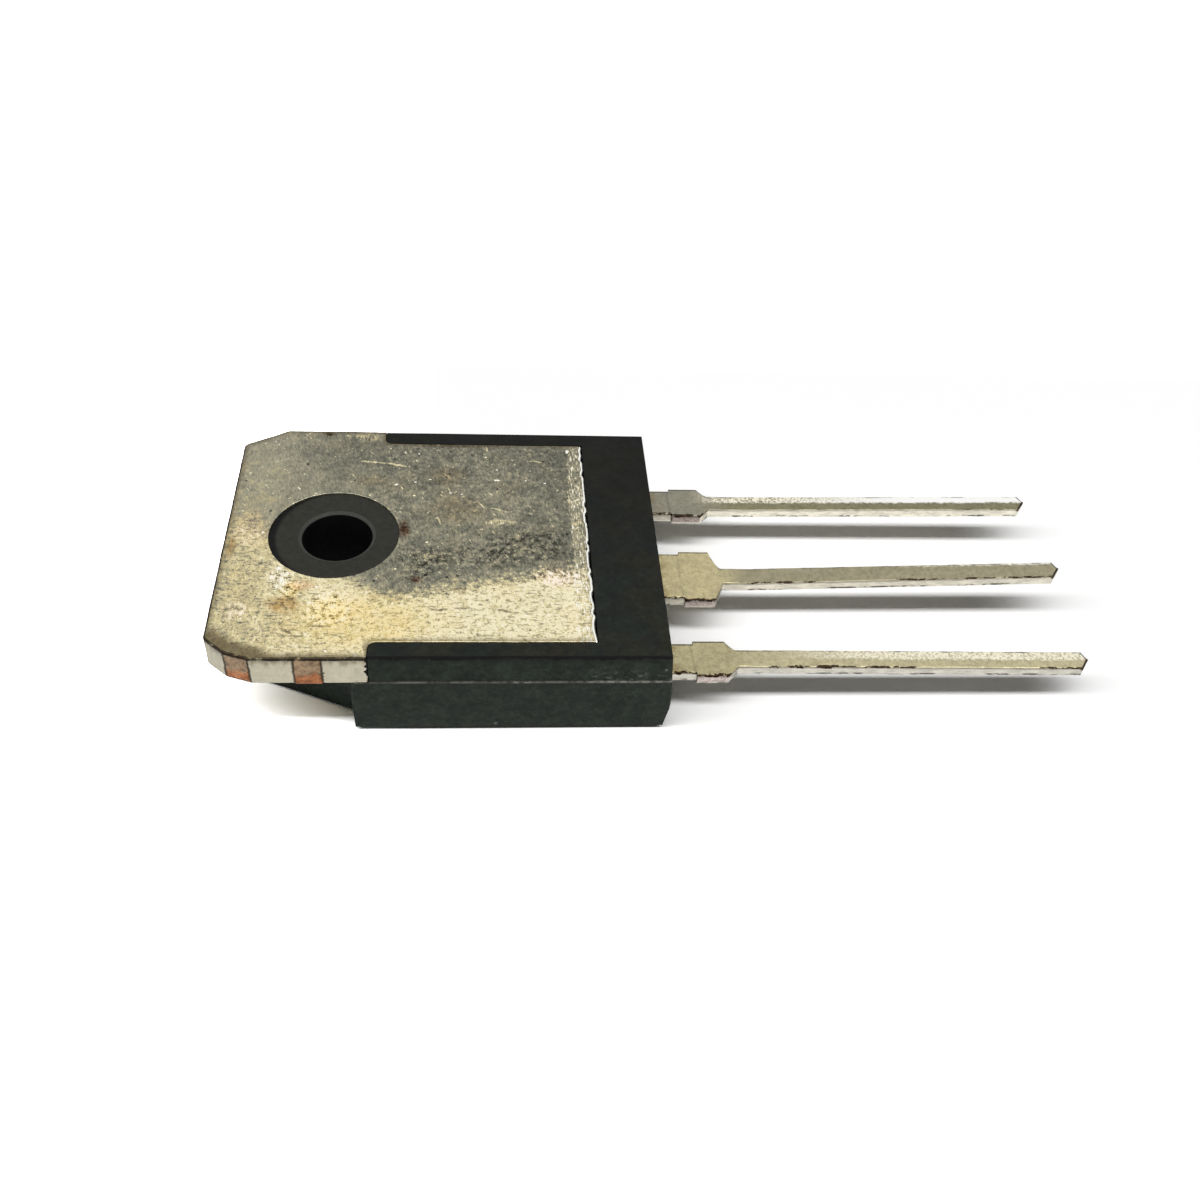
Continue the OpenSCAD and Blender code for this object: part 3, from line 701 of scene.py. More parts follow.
@dataclass(frozen=True)
class BlackMoulding:
    """Matt black epoxy with a faint mould grain, painted shade along a crease at the top of the sides,
    pale scuffs and a painted highlight along the parting line, a greyer ring in the tab's hole with
    painted shade beside it, and a bore painted black as shade where no light reaches."""

    black: Colour = paint(18, 22, 19)
    brown_black: Colour = paint(25, 25, 18)
    side: Colour = paint(38, 45, 38)
    ring: Colour = paint(43, 43, 38)
    lip: Colour = paint(66, 66, 62)
    scuff: Colour = paint(128, 127, 120)
    # pale colour of the parting line's ledge: a painted highlight where it catches the light
    ledge: Colour = paint(104, 104, 98)
    # near-black painted shade: in the bore, beside the ring and along the crease atop the sides
    painted_shade: Colour = paint(3, 3, 3)
    sheen: float = 0.12
    roughness: float = 0.54  # plus up to 0.12 where it is worn
    parting_z: float = 3.3
    back_z: float = 4.77
    ring_z: float = 4.7
    hole_r: float = 1.6
    ring_r: float = 2.95
    side_y: float = 7.6  # where the sides begin
    worn_x: tuple[float, float] = (10.8, 11.6)  # over which the worn lead end begins

    def ring_colour(self, n: FinishNodes, colour: Wire, grit: Wire) -> Wire:
        """Lays the greyer ring, the painted shade beside it, the pale mouth and the bore painted black as
        shade over the black.
        """
        radius = n.vector("LENGTH", n.vector("MULTIPLY", n.place, (1.0, 1.0, 0.0)))
        on_ring = n.band(radius, self.ring_r + 0.2, self.ring_r + 0.15)
        on_ring = on_ring * n.band(n.z, self.ring_z - 0.2, self.ring_z - 0.15)
        colour = n.blend(on_ring, colour, n.mottled(self.ring, n.noise(3.0, 4, 0.8), 0.8, 1.2))
        crescent = n.band(radius + n.x * -0.12, self.ring_r, self.ring_r + 0.25)
        colour = n.blend(on_ring * crescent, colour, self.painted_shade)
        mouth = n.band(radius, self.hole_r + 0.16, self.hole_r + 0.12)
        mouth = mouth * n.band(n.z, self.ring_z - 0.16, self.ring_z - 0.12)
        colour = n.blend(mouth, colour, n.shade(self.lip, grit, 0.6, 1.4))
        # painted shade: the bore is painted black, where no light reaches
        bore = n.band(radius, self.hole_r + 0.03, self.hole_r + 0.01)
        return n.blend(bore * n.band(n.z, self.ring_z - 0.12, self.ring_z - 0.17), colour, self.painted_shade)

    def side_marks(self, n: FinishNodes, colour: Wire, worn: Wire) -> Wire:
        """Paints shade along a crease at the upper edge of the sides, then lays the pale ledge of the
        parting line over them as a painted highlight, with its chips, and the rubbed patch above it
        by the leads."""
        wide = abs(n.y)
        side = n.band(wide, self.side_y, self.side_y + 0.03)
        fray = n.band(n.noise(1.1, 4, 0.8, n.stretched(2.2, 1, 1)), 0.35, 0.6, 0.04, 0.19)
        # painted shade along a crease at the upper edge of the sides
        crease_shade = n.band(fray - (self.back_z - n.z), -0.02, 0.02)
        colour = n.blend(side * crease_shade, colour, self.painted_shade)
        up = n.z - self.parting_z
        worn_end = n.band(n.x, *self.worn_x) * n.band(n.y, 0.0, -1.0)
        ends = n.larger(worn_end, n.band(abs(n.x - 8.1), 0.7, 0.4)) * 0.75 + 0.25
        # painted highlight along the ledge of the parting line, then its pale chips
        step = n.band(abs(up), 0.07, 0.03) * n.band(wide, self.side_y + 0.02, self.side_y + 0.08)
        colour = n.blend(step, colour, n.shade(self.ledge, worn, 0.25, 0.7))
        chips = n.band(n.noise(4.5, 3, 0.8, n.stretched(2, 1, 1)), 0.4, 0.6)
        colour = n.blend(step * ends * chips, colour, self.scuff)
        rubbed = worn_end * n.band(up, 0.0, 0.1) * n.band(up, 1.1, 0.4) * side
        rubbed = rubbed * n.band(n.noise(5.5, 4, 0.85, n.stretched(2.4, 1, 1)), 0.53, 0.68)
        return n.blend(rubbed * 0.7, colour, self.scuff)

    def material(self) -> bpy.types.Material:
        """The finish as a node material."""
        n = FinishNodes("black_moulding")
        grit, worn = n.noise(12, 2, 0.6), n.band(n.noise(1.0, 3, 0.8), 0.4, 0.6)
        colour = n.blend(n.band(n.noise(0.45, 3, 0.65), 0.4, 0.62), self.black, self.brown_black)
        colour = n.scaled(colour, n.band(n.y, 6.0, -7.0, 0.44, 1.4))
        colour = n.blend(n.band(n.z, self.back_z - 0.05, self.back_z - 0.5), colour, self.side)
        colour = n.mottled(colour, n.noise(1.6, 4, 0.7), 0.72, 1.28)
        colour = n.mottled(colour, n.noise(4.5, 4, 0.8), 0.75, 1.25)
        colour = n.blend(n.specks(0.7, 0.09, 0.5) * 0.5, colour, self.scuff)
        colour = self.side_marks(n, self.ring_colour(n, colour, grit), worn)
        rough = worn * 0.12 + self.roughness
        return n.finished({"Base Color": colour, "Specular IOR Level": self.sheen, "Roughness": rough},
                          grit + n.noise(5, 3, 0.6), 0.008)


@dataclass(frozen=True)
class InnerMetal:
    """Metal inside the moulding: a colour with fine grain."""

    name: str
    colour: Colour
    roughness: float  # plus up to 0.2 on the grain
    metallic: float
    grain: float

    def material(self) -> bpy.types.Material:
        """The finish as a node material."""
        n = FinishNodes(self.name)
        grain = n.noise(self.grain, 3, 0.6)
        colour, rough = n.shade(self.colour, grain, 0.75, 1.25), grain * 0.2 + self.roughness
        shader = {"Base Color": colour, "Metallic": self.metallic, "Roughness": rough}
        return n.finished(shader, grain, 0.004)


# ---------------------------------------------------------------- heat spreader


def rounded_path(corners: np.ndarray, radii: np.ndarray, step: float) -> np.ndarray:
    """Closed outline with rounded corners, as points at equal steps.

    Each corner becomes an arc that leaves its two sides at r / tan(half angle) from the corner; the
    arcs are joined by straight lines and the whole is read off at equal distances along it.

    Args:
        corners: Corner points in order, (n, 2).
        radii: Radius of each corner, (n,).
        step: Distance between points.

    Returns:
        Points along the outline, (m, 2).
    """
    before, after = np.roll(corners, 1, 0) - corners, np.roll(corners, -1, 0) - corners
    before /= np.linalg.norm(before, axis=1, keepdims=True)
    after /= np.linalg.norm(after, axis=1, keepdims=True)
    half = np.arccos(np.clip((before * after).sum(1), -1, 1)) / 2
    middle = before + after
    middle /= np.linalg.norm(middle, axis=1, keepdims=True)
    centres = corners + middle * (radii / np.sin(half))[:, None]
    first = corners + before * (radii / np.tan(half))[:, None] - centres
    last = corners + after * (radii / np.tan(half))[:, None] - centres
    turn = np.linspace(0, 1, 13)[None, :, None]
    swing = (np.pi - 2 * half)[:, None, None]
    arcs = np.sin((1 - turn) * swing) * first[:, None] + np.sin(turn * swing) * last[:, None]
    arcs = arcs / np.sin(swing)
    path = (centres[:, None] + arcs).reshape(-1, 2)
    path = np.vstack([path, path[:1]])
    run = np.concatenate([[0], np.cumsum(np.linalg.norm(np.diff(path, axis=0), axis=1))])
    places = np.linspace(0, run[-1], int(run[-1] / step), endpoint=False)
    return np.stack([np.interp(places, run, path[:, k]) for k in (0, 1)], axis=1)


def evened(values: np.ndarray, width: float) -> np.ndarray:
    """Values round a closed outline, blurred by a bell curve of that many points."""
    reach = np.fft.rfftfreq(len(values))
    bell = np.exp(-2 * (np.pi * width * reach) ** 2)
    shape = (-1,) + (1,) * (values.ndim - 1)
    return np.fft.irfft(np.fft.rfft(values, axis=0) * bell.reshape(shape), len(values), axis=0)


PATCHES = (
    Patch(0.0, -4.9, 1.3, 1.4, 0.18, Hue.GOLD, 0.5, 1.0),
    Patch(-2.3, -2.9, 0.7, 1.1, 0.16, glow=0.5),
    Patch(-1.7, -3.7, 0.6, 0.8, 0.16, Hue.GOLD, 0.8, 1.0),
    Patch(-1.9, -4.6, 1.0, 0.7, -0.05, Hue.BROWN, 0.8),
    Patch(6.3, -1.5, 2.8, 1.1, -0.07, glow=0.15),
    Patch(-1.2, -3.4, 0.8, 0.5, -0.04, Hue.PINK, 0.8),
    Patch(10.0, -2.8, 1.5, 0.9, 0.16, Hue.PINK, 0.5, 0.5),
    Patch(8.8, -0.7, 2.6, 1.7, -0.09, glow=0.1),
    Patch(3.9, -1.9, 1.4, 1.6, -0.08, glow=0.15),
    Patch(-3.9, -5.0, 0.8, 0.8, 0.06, Hue.PINK, 0.3, 0.5),
    Patch(7.4, 0.9, 1.3, 0.3, 0.12),
    Patch(0.9, 7.3, 1.1, 0.5, 0.12),
    Patch(-3.9, 0.3, 1.1, 1.8, 0.08, Hue.PINK, 0.4),
    Patch(-4.6, -0.9, 0.3, 1.0, -0.05, Hue.BROWN, 0.7),
    Patch(3.0, 0.4, 0.35, 0.85, -0.08, Hue.RUST, 0.9),
    Patch(5.3, 6.8, 3.8, 0.3, -0.08, Hue.RUST, 0.5),
    Patch(-1.0, 7.5, 0.4, 0.25, -0.15, Hue.BROWN, 1.0),
    Patch(3.7, -3.0, 0.4, 0.3, -0.12, Hue.RUST, 0.8),
    Patch(1.5, -5.6, 4.5, 2.4, 0.0, Hue.GOLD, 0.5),
    Patch(4.9, 4.3, 1.3, 1.0, 0.0, Hue.BROWN, 0.4),
    Patch(5.4, 1.9, 1.8, 1.3, 0.0, Hue.BROWN, 0.35),
    Patch(1.2, 3.9, 1.0, 0.7, 0.03, Hue.BROWN, 0.3),
)


@dataclass
class HeatSpreader:
    """Copper tab and pad as one closed skin, wrapped round the tab's hole."""

    low_z: float = 3.3
    high_z: float = 4.8
    hole_x: float = -0.13
    hole_r: float = 2.95
    half_w: float = 7.8
    pad_half_w: float = 6.85
    tab_end_x: float = -5.0
    pad_start_x: float = 1.85
    end_x: float = 11.55
    ledge_w: float = 0.35
    ledge_t: float = 0.6
    stub_x: tuple[float, float] = (-1.205, -0.055)
    stub: float = 0.06
    corner_l: float = 2.05  # length and width of the cut corners at the tab's end
    corner_w: float = 1.2
    bend_l: float = 0.93  # the same for the bend that the strip left at the near corner
    bend_w: float = 0.37
    corner_r: float = 0.4
    shoulder_r: float = 0.3
    sharp_r: float = 0.08
    lip: float = 0.04  # rounding of the hole's mouth
    foot: float = 0.05  # rounding of the lower edge
    buried: float = 5.0  # distance from the edge painted where no edge is near
    top_rows: int = 64
    step: float = 0.082

    def outline(self) -> np.ndarray:
        """Plan of the metal: cut corners at the tab's end, shoulders, and the narrower pad."""
        side = [
            (self.tab_end_x, self.half_w - self.corner_w, self.corner_r),
            (self.tab_end_x + self.corner_l, self.half_w, self.corner_r),
            (self.pad_start_x, self.half_w, self.sharp_r),
            (self.pad_start_x, self.pad_half_w, self.shoulder_r),
            (self.end_x, self.pad_half_w, self.sharp_r),
        ]
        near = [(x, -y, r) for x, y, r in side]
        bend = (self.tab_end_x + self.bend_l, self.bend_w - self.half_w, self.corner_r)
        near.insert(1, bend)
        corners = np.array(near + side[::-1])
        return rounded_path(corners[:, :2], corners[:, 2], self.step)

    def skin(self) -> Sheet:
        """Closed skin: every column is the metal's section along one ray from the hole's middle.

        A column runs up the hole's wall, out over the back, round the rolled edge, down the side
        with its cut stubs and the locking ledge, and back under the metal to the hole. Ray ends on
        the hole are spread by the evened direction of the outline's points, so that columns never
        cross.

        Returns:
            The sheet, with its painted values.
        """
        ragged = Grain(3)
        path = self.outline()
        count = len(path)
        run = np.arange(count) * self.step
        tangent = evened(np.roll(path, -1, 0) - np.roll(path, 1, 0), 1.2)
        tangent /= np.linalg.norm(tangent, axis=1, keepdims=True)
        normal = np.stack([tangent[:, 1], -tangent[:, 0]], axis=1)
        angle = np.unwrap(np.arctan2(path[:, 1], path[:, 0] - self.hole_x))
        trend = np.linspace(angle[0], angle[0] + 2 * np.pi, count, endpoint=False)
        spread = evened(angle - trend, 14) + trend
        direction = np.stack([np.cos(spread), np.sin(spread)], axis=1)
        hole = np.array([self.hole_x, 0]) + direction * (
            self.hole_r - 0.035 * ragged.at(run * 5, 0, 3)[:, None])

        pad_end = self.pad_end(path[:, 0])
        edge_r = 0.07 + 0.05 * ragged.at(run * 1.5, 3, 2) + 0.06 * pad_end
        clear = pad_end * ease(self.pad_half_w - 0.1, self.pad_half_w - 0.6, np.abs(path[:, 1]))
        burr = clear * ease(0.4, 0.7, ragged.at(run * 2.6, 12, 2))
        wobble = 0.02 * ragged.at(run * 3, 9, 3) + 0.07 * burr
        edge = path - normal * wobble[:, None]
        ray = hole - edge
        reach = np.linalg.norm(ray, axis=1)
        ray /= reach[:, None]
        lean = np.clip(-(ray * normal).sum(1), 0.35, 1)

        rows: list[np.ndarray] = []
        rims: list[np.ndarray] = []
        walls: list[float] = []

        def add(plan: np.ndarray, z: np.ndarray | float, rim: np.ndarray | float, wall: float) -> None:
            """Adds one row of points at a height, with its distance from the edge."""
            rows.append(np.column_stack([plan, np.broadcast_to(z, count)]))
            rims.append(np.broadcast_to(rim, count))
            walls.append(wall)

        lip, foot = self.lip, self.foot
        for z in np.linspace(self.low_z + 0.02, self.high_z - lip, 5):
            add(hole, z, self.buried, 0.0)
        for t in np.linspace(0, np.pi / 2, 4)[1:-1]:
            plan = hole - ray * (lip * (1 - np.cos(t)))
            add(plan, self.high_z - lip * (1 - np.sin(t)), self.buried, 0.0)
        inner, outer = hole - ray * lip, edge - normal * edge_r[:, None]
        across = np.linalg.norm(outer - inner, axis=1)
        share = np.linspace(0, 1, self.top_rows)
        share = 0.5 * share + 0.5 * (1 - (1 - share) ** 3)
        for part in share:
            plan = inner + (outer - inner) * part
            rim = across * (1 - part) * lean + edge_r
            dip = 0.012 * (1 - ease(0.0, 0.5, rim - edge_r)) * ragged.at(run * 2, 21, 2)
            dip = dip + 0.012 * ragged.at(*(plan.T * 0.8 + 9), 2)
            add(plan, self.high_z - dip, rim, 0.0)
        edge_dip = 0.012 * ragged.at(run * 2, 21, 2) + 0.012 * ragged.at(*(outer.T * 0.8 + 9), 2)
        for t in np.linspace(0, np.pi / 2, 8)[1:]:
            rim, drop = edge_r * (1 - np.sin(t)), edge_r * (1 - np.cos(t))
            plan = edge - normal * rim[:, None]
            add(plan, self.high_z - edge_dip - drop, rim, float(ease(0.3, 1.0, t)))
        start, stop = self.stub_x
        in_stub = ease(start, start + 0.04, path[:, 0]) * ease(stop, stop - 0.04, path[:, 0])
        in_stub = in_stub * (np.abs(path[:, 1]) > self.half_w - 0.1)
        in_pad = (path[:, 0] > self.pad_start_x + 0.25).astype(float)
        start_z = self.high_z - edge_dip - edge_r
        for part in np.linspace(0, 1, 15)[1:]:
            z = start_z + (self.low_z + foot - start_z) * part
            proud = self.stub * in_stub * float(ease(0.1, 0.8, part))
            bulge = 0.012 * ragged.at(run * 2.5, 30 + 3 * part, 2) * math.sin(math.pi * part)
            ledge = self.ledge_w * in_pad * (z < self.low_z + self.ledge_t)
            add(edge + normal * (proud - bulge + ledge)[:, None], z, 0.0, 1.0)
        tail = edge + normal * (self.stub * in_stub + self.ledge_w * in_pad)[:, None]
        for t in np.linspace(0, np.pi / 2, 4)[1:]:
            plan = tail - normal * (foot * (1 - np.cos(t)))
            add(plan, self.low_z + foot * (1 - np.sin(t)), 0.0, 1.0)
        for part in (0.2, 0.5, 0.8, 1.0):
            add(tail + (hole - tail) * part, self.low_z, self.buried, 0.0)

        points, soil = np.stack(rows), ragged.at(run, 50, 2)
        painted = self.painted(path, points, np.stack(rims), np.array(walls)[:, None], soil)
        return Sheet(points, True, True, painted)

    def pad_end(self, x: np.ndarray) -> np.ndarray:
        """1 along the end of the pad and 0 elsewhere."""
        return ease(self.end_x - 0.15, self.end_x - 0.02, x)

    def painted(self, path: np.ndarray, points: np.ndarray, rim: np.ndarray, wall: np.ndarray,
                soil: np.ndarray) -> dict[str, np.ndarray]:
        """Values painted on the skin, which tell the finish where it is.

        Args:
            path: Plan of the metal, one point for each column of the skin.
            points: The skin's points.
            rim: Distance of each point from the edge.
            wall: For each row, how far it belongs to the side: 0 on the back, 1 on the side.
            soil: Grain along the edge that the grime follows.

        Returns:
            The values by name: rim, wall, copper, grime, outline, shine (a painted highlight
            along the pad's end), lift (of the tone), glow (of the painted glints) and one for each tint.
        """
        (x, y), height, shape = path.T, points[:, :, 2], points.shape[:2]
        in_corner = ease(-4.25, -3.9, x) * ease(-2.85, -3.2, x) * (y < -6.9)
        at_stub = between(*self.stub_x, x, 0.15) * (np.abs(y) > self.half_w - 0.1)
        near_corner = ease(-2.2, -3.0, x) * ease(-6.2, -6.7, y)
        near_side = (y < -7) * ease(1.9, 1.2, x)
        grime = 0.04 + 0.05 * soil + 0.42 * near_corner + 0.09 * near_side
        grime = grime * (1 - self.pad_end(x))
        sides = (np.abs(y) > self.pad_half_w - 0.1) & (x > self.pad_start_x + 0.1)
        grime = np.where(sides, 0.05, grime)
        on_tab = (x < self.pad_start_x) * (1 - 0.6 * (y > 7))
        brink = ease(0.15, 0.06, rim) * ease(self.high_z - 0.2, self.high_z - 0.1, height)
        under = ease(self.low_z + 0.12, self.low_z + 0.06, height) * (rim < 1) * ease(-2.8, -3.2, x)
        covers = [(patch, patch.cover(points[:, :, 0], points[:, :, 1])) for patch in PATCHES]
        painted = {
            "rim": rim, "wall": np.broadcast_to(wall, shape),
            "copper": np.broadcast_to(np.maximum(in_corner, at_stub), shape),
            "grime": np.broadcast_to(grime, shape),
            "outline": on_tab * np.maximum(brink, under),
            # painted highlight along the pad's end
            "shine": self.pad_end(x) * ease(0.2, 0.06, rim),
            "lift": sum(patch.lift * cover for patch, cover in covers),
            "glow": sum(patch.glow * cover for patch, cover in covers)}
        for hue in Hue:
            if hue is not Hue.NONE:
                tint = sum(patch.tint * cover for patch, cover in covers if patch.hue is hue)
                painted[hue.value] = np.clip(tint, 0, 1)
        return painted

    def build(self, finish: TinnedBack) -> bpy.types.Object:
        """Makes the spreader's piece."""
        return self.skin().piece("heat_spreader", finish.material())


# ---------------------------------------------------------------- leads


@dataclass
class Lead:
    """Flat stamped lead as a closed skin: a rounded section carried along X."""

    name: str
    middle_y: float
    root_half: float
    tip_x: float
    rise: float
    seed: int
    inside: tuple[tuple[float, float, float], ...]  # places inside the moulding: x, far and near half width
    inside_z: tuple[tuple[float, float], ...]  # middle height of the lead inside the moulding, by x
    body_x: float = 14.9
    thickness: float = 0.55
    middle_z: float = 2.045
    dam_x: tuple[float, float] = (16.15, 17.6)
    dam_stub: float = 0.17
    taper_x: tuple[float, float] = (17.6, 18.1)
    narrow_half: float = 0.55
    point: tuple[float, float] = (0.2, 0.4)  # how far the tip's far and near facets reach back
    bend_x: float = 19.5
    near_taper: float = 1.0
    far_taper: float = 1.6

    def half_width(self, x: np.ndarray, side: int) -> np.ndarray:
        """Half width along the lead: the root, the dam bar's stub, a taper narrow + (stub - narrow)
        (1 - t)^p, the narrow part and the pointed tip.

        Args:
            x: Places along the lead.
            side: 1 for the far side, -1 for the near side.

        Returns:
            Distance from the lead's middle to that side.
        """
        column = 1 if side > 0 else 2
        places, widths = [p[0] for p in self.inside], [p[column] for p in self.inside]
        width = np.interp(x, places + [self.body_x], widths + [self.root_half])
        stub = self.root_half + self.dam_stub
        width = np.where(x > self.dam_x[0], stub, width)
        t = np.clip((x - self.taper_x[0]) / (self.taper_x[1] - self.taper_x[0]), 0, 1)
        power = self.far_taper if side > 0 else self.near_taper
        taper = self.narrow_half + (stub - self.narrow_half) * (1 - t) ** power
        width = np.where(x > self.dam_x[1], taper, width)
        back = self.point[column - 1]
        facet = np.clip((self.tip_x - x) / back, 0.02, 1) * self.narrow_half
        return np.where(x > self.tip_x - back, facet, width)

    def stations(self) -> np.ndarray:
        """Places of the sections along X: close together outside, and doubled at every sudden step."""
        start = self.inside[0][0]
        steps = [p[0] for p in self.inside[1:-1]] + [*self.dam_x, *(self.tip_x - p for p in self.point)]
        inner = np.arange(start, self.body_x - 0.5, 0.15)
        outer = np.arange(self.body_x - 0.5, self.tip_x - 0.5, 0.055)
        tip = np.linspace(self.tip_x - 0.5, self.tip_x, 14)
        doubled = np.concatenate([[s - 0.008, s + 0.008] for s in steps])
        x = np.unique(np.round(np.concatenate([inner, outer, tip, doubled]), 4))
        return x[(x >= start) & (x <= self.tip_x)]

    def section(self) -> tuple[np.ndarray, ...]:
        """Unit section of the lead: shares of the straight half sizes, and of the corner radius.

        Returns:
            Side share, height share, corner direction across, corner direction up, and top share.
        """
        arc = np.linspace(0, np.pi / 2, 6)
        flat = np.linspace(-1, 1, 13)[1:-1]
        upright = np.linspace(-1, 1, 6)[1:-1]
        parts = [
            (flat[::-1] * 0 + flat, flat * 0 + 1, flat * 0, flat * 0 + 1),
            (arc * 0 + 1, arc * 0 + 1, np.sin(arc), np.cos(arc)),
            (upright * 0 + 1, -upright, upright * 0 + 1, upright * 0),
            (arc * 0 + 1, arc * 0 - 1, np.cos(arc), -np.sin(arc)),
            (-flat, flat * 0 - 1, flat * 0, flat * 0 - 1),
            (arc * 0 - 1, arc * 0 - 1, -np.sin(arc), -np.cos(arc)),
            (upright * 0 - 1, upright, upright * 0 - 1, upright * 0),
            (arc * 0 - 1, arc * 0 + 1, -np.cos(arc), np.sin(arc)),
        ]
        return tuple(np.concatenate([p[k] for p in parts]) for k in range(4))

    def skin(self) -> Sheet:
        """Closed skin of the lead.

        Returns:
            The sheet: rows along X, columns round the section, with the values across (-1 to 1),
            top, copper, tip, edge (distance in from the near upper edge, below 0 down the near
            side) and far_edge (distance in from the far upper edge).
        """
        ragged = Grain(self.seed)
        x = self.stations()
        side, up, corner_y, corner_z = self.section()
        far, near = self.half_width(x, 1), self.half_width(x, -1)
        outside = ease(self.body_x, self.body_x + 0.3, x)
        far = far - 0.018 * outside * ragged.at(x * 2.2, 1, 3)
        near = near - 0.018 * outside * ragged.at(x * 2.2, 7, 3)
        places = [p[0] for p in self.inside_z] + [self.bend_x, self.tip_x]
        heights = [p[1] for p in self.inside_z] + [self.middle_z, self.middle_z + self.rise]
        z = np.interp(x, places, heights)
        radius = np.minimum(0.1, 0.9 * np.minimum(far, near))[:, None]
        half = np.where(side[None] > 0, far[:, None], near[:, None])
        tall = self.thickness / 2 - 0.012 * ragged.at(x * 1.3, 13, 2)[:, None]
        y = side[None] * (half - radius) + radius * corner_y[None]
        height = up[None] * (tall - radius) + radius * corner_z[None]
        facing_up = (up > 0) & (corner_z > 0.4)
        crown = -0.02 * side[None] ** 2 * facing_up[None]
        crown = crown * ease(self.taper_x[0], self.taper_x[1] + 1, x)[:, None]
        along = np.broadcast_to(x[:, None], y.shape)
        points = np.stack([along, self.middle_y + y, z[:, None] + height + crown], axis=-1)
        caps = points.mean(1, keepdims=True)
        points = np.concatenate([np.broadcast_to(caps[:1], points[:1].shape), points,
                                 np.broadcast_to(caps[-1:], points[-1:].shape)])
        x = np.concatenate([x[:1], x, x[-1:]])
        shape = points.shape[:2]
        y = points[:, :, 1] - self.middle_y
        wide = np.maximum(np.abs(y).max(1, keepdims=True), 0.05)
        top = np.broadcast_to(ease(0.25, 0.8, corner_z) * (up > 0), shape)
        in_dam = between(*self.dam_x, x, 0.02)
        on_side = ease(0.55, 0.8, np.abs(corner_y))
        upper = points[:, :, 2].max(1, keepdims=True)
        depth = upper - points[:, :, 2]
        edge = self.half_width(x, -1)[:, None] + y - depth
        far_edge = np.where(up[None] > 0, self.half_width(x, 1)[:, None] - y + depth, 1.0)
        back = np.where(y > 0, *self.point)
        from_cut = self.narrow_half * (self.tip_x - x[:, None]) - np.abs(y) * back
        from_cut = from_cut / np.hypot(back, self.narrow_half)
        tip = ease(0.13, 0.07, from_cut) * ease(0.2, 0.12, depth) * (up[None] > 0)
        return Sheet(points, False, True, {
            "across": y / wide, "top": top, "edge": edge, "far_edge": far_edge,
            "copper": in_dam[:, None] * on_side[None], "tip": tip})


@dataclass
class LeadSet:
    """The three leads: the middle one is one piece with the spreader, the outer ones carry paddles."""

    pitch: float = 5.45
    outer_root_half: float = 0.925
    middle_root_half: float = 1.55
    paddle_x: tuple[float, float] = (12.15, 13.65)
    paddle_far: float = 1.65
    paddle_near: float = 2.1

    def leads(self) -> list[tuple[Lead, str]]:
        """The three leads, each with the solid it stands for."""
        start, stop = self.paddle_x
        root, neck = self.outer_root_half, (self.outer_root_half, self.outer_root_half)
        first = ((start, self.paddle_far, self.paddle_near), (stop, self.paddle_far, self.paddle_near),
                 (stop + 0.01, *neck), (14.5, *neck))
        second = tuple((x, b, a) for x, a, b in first)
        level = ((start, 2.045), (15.0, 2.045))
        half = self.middle_root_half
        middle = ((10.6, half, half), (11.4, half, half), (14.0, half, half))
        step = ((10.6, 3.56), (11.9, 3.56), (13.9, 2.045), (15.0, 2.045))
        return [
            (Lead("anode_lead_first", self.pitch, root, 34.8, 0.22, 11, first, level), "anode_lead_1"),
            (Lead("cathode_lead", 0.0, half, 34.8, 0.55, 12, middle, step), "heatsink_leadframe"),
            (Lead("anode_lead_second", -self.pitch, root, 34.65, -0.16, 13, second, level), "anode_lead_2"),
        ]

    def finishes(self) -> tuple[TinnedLead, ...]:
        """Finish of each lead, with its own bright band and its own cracks. The body and side colours
        differ from lead to lead partly as painted light, for how each lead catches the light.
        """
        # one tin on all leads: the side colour is painted lighter on the far lead and darker on the near
        # one, and the body colour partly so, as painted light
        return (
            TinnedLead("first_lead_tin", body=paint(132, 127, 102), root=paint(140, 137, 121),
                       side_tin=paint(246, 240, 222), frost_and_highlight=Frost.MIDDLING, frost_x=(17.0, 19.0),
                       white_x=(21.0, 29.0), cracks=((15.1, 17.75, 0.1), (31.0, 33.6, 0.025))),
            TinnedLead("middle_lead_tin", body=paint(157, 150, 124), root=paint(189, 178, 138),
                       side_tin=paint(226, 220, 203), frost_and_highlight=Frost.NARROW, frost_x=(26.0, 29.0),
                       white_x=(30.0, 36.0),
                       cracks=((15.0, 17.7, 0.08), (18.8, 22.6, 0.055), (26.2, 34.4, 0.045))),
            TinnedLead("second_lead_tin", body=paint(188, 179, 145), root=paint(176, 167, 131),
                       side_tin=paint(212, 208, 195), frost_and_highlight=Frost.WIDE, frost_x=(19.0, 25.0),
                       white_x=(34.0, 40.0),
                       cracks=((15.0, 17.7, 0.1), (19.4, 22.8, 0.09), (22.8, 26.3, 0.05),
                               (32.2, 34.6, 0.05))))

    def build(self) -> list[tuple[bpy.types.Object, str]]:
        """Makes the three leads, each with the solid it stands for."""
        return [(lead.skin().piece(lead.name, finish.material()), node)
                for (lead, node), finish in zip(self.leads(), self.finishes())]


# ---------------------------------------------------------------- moulded body


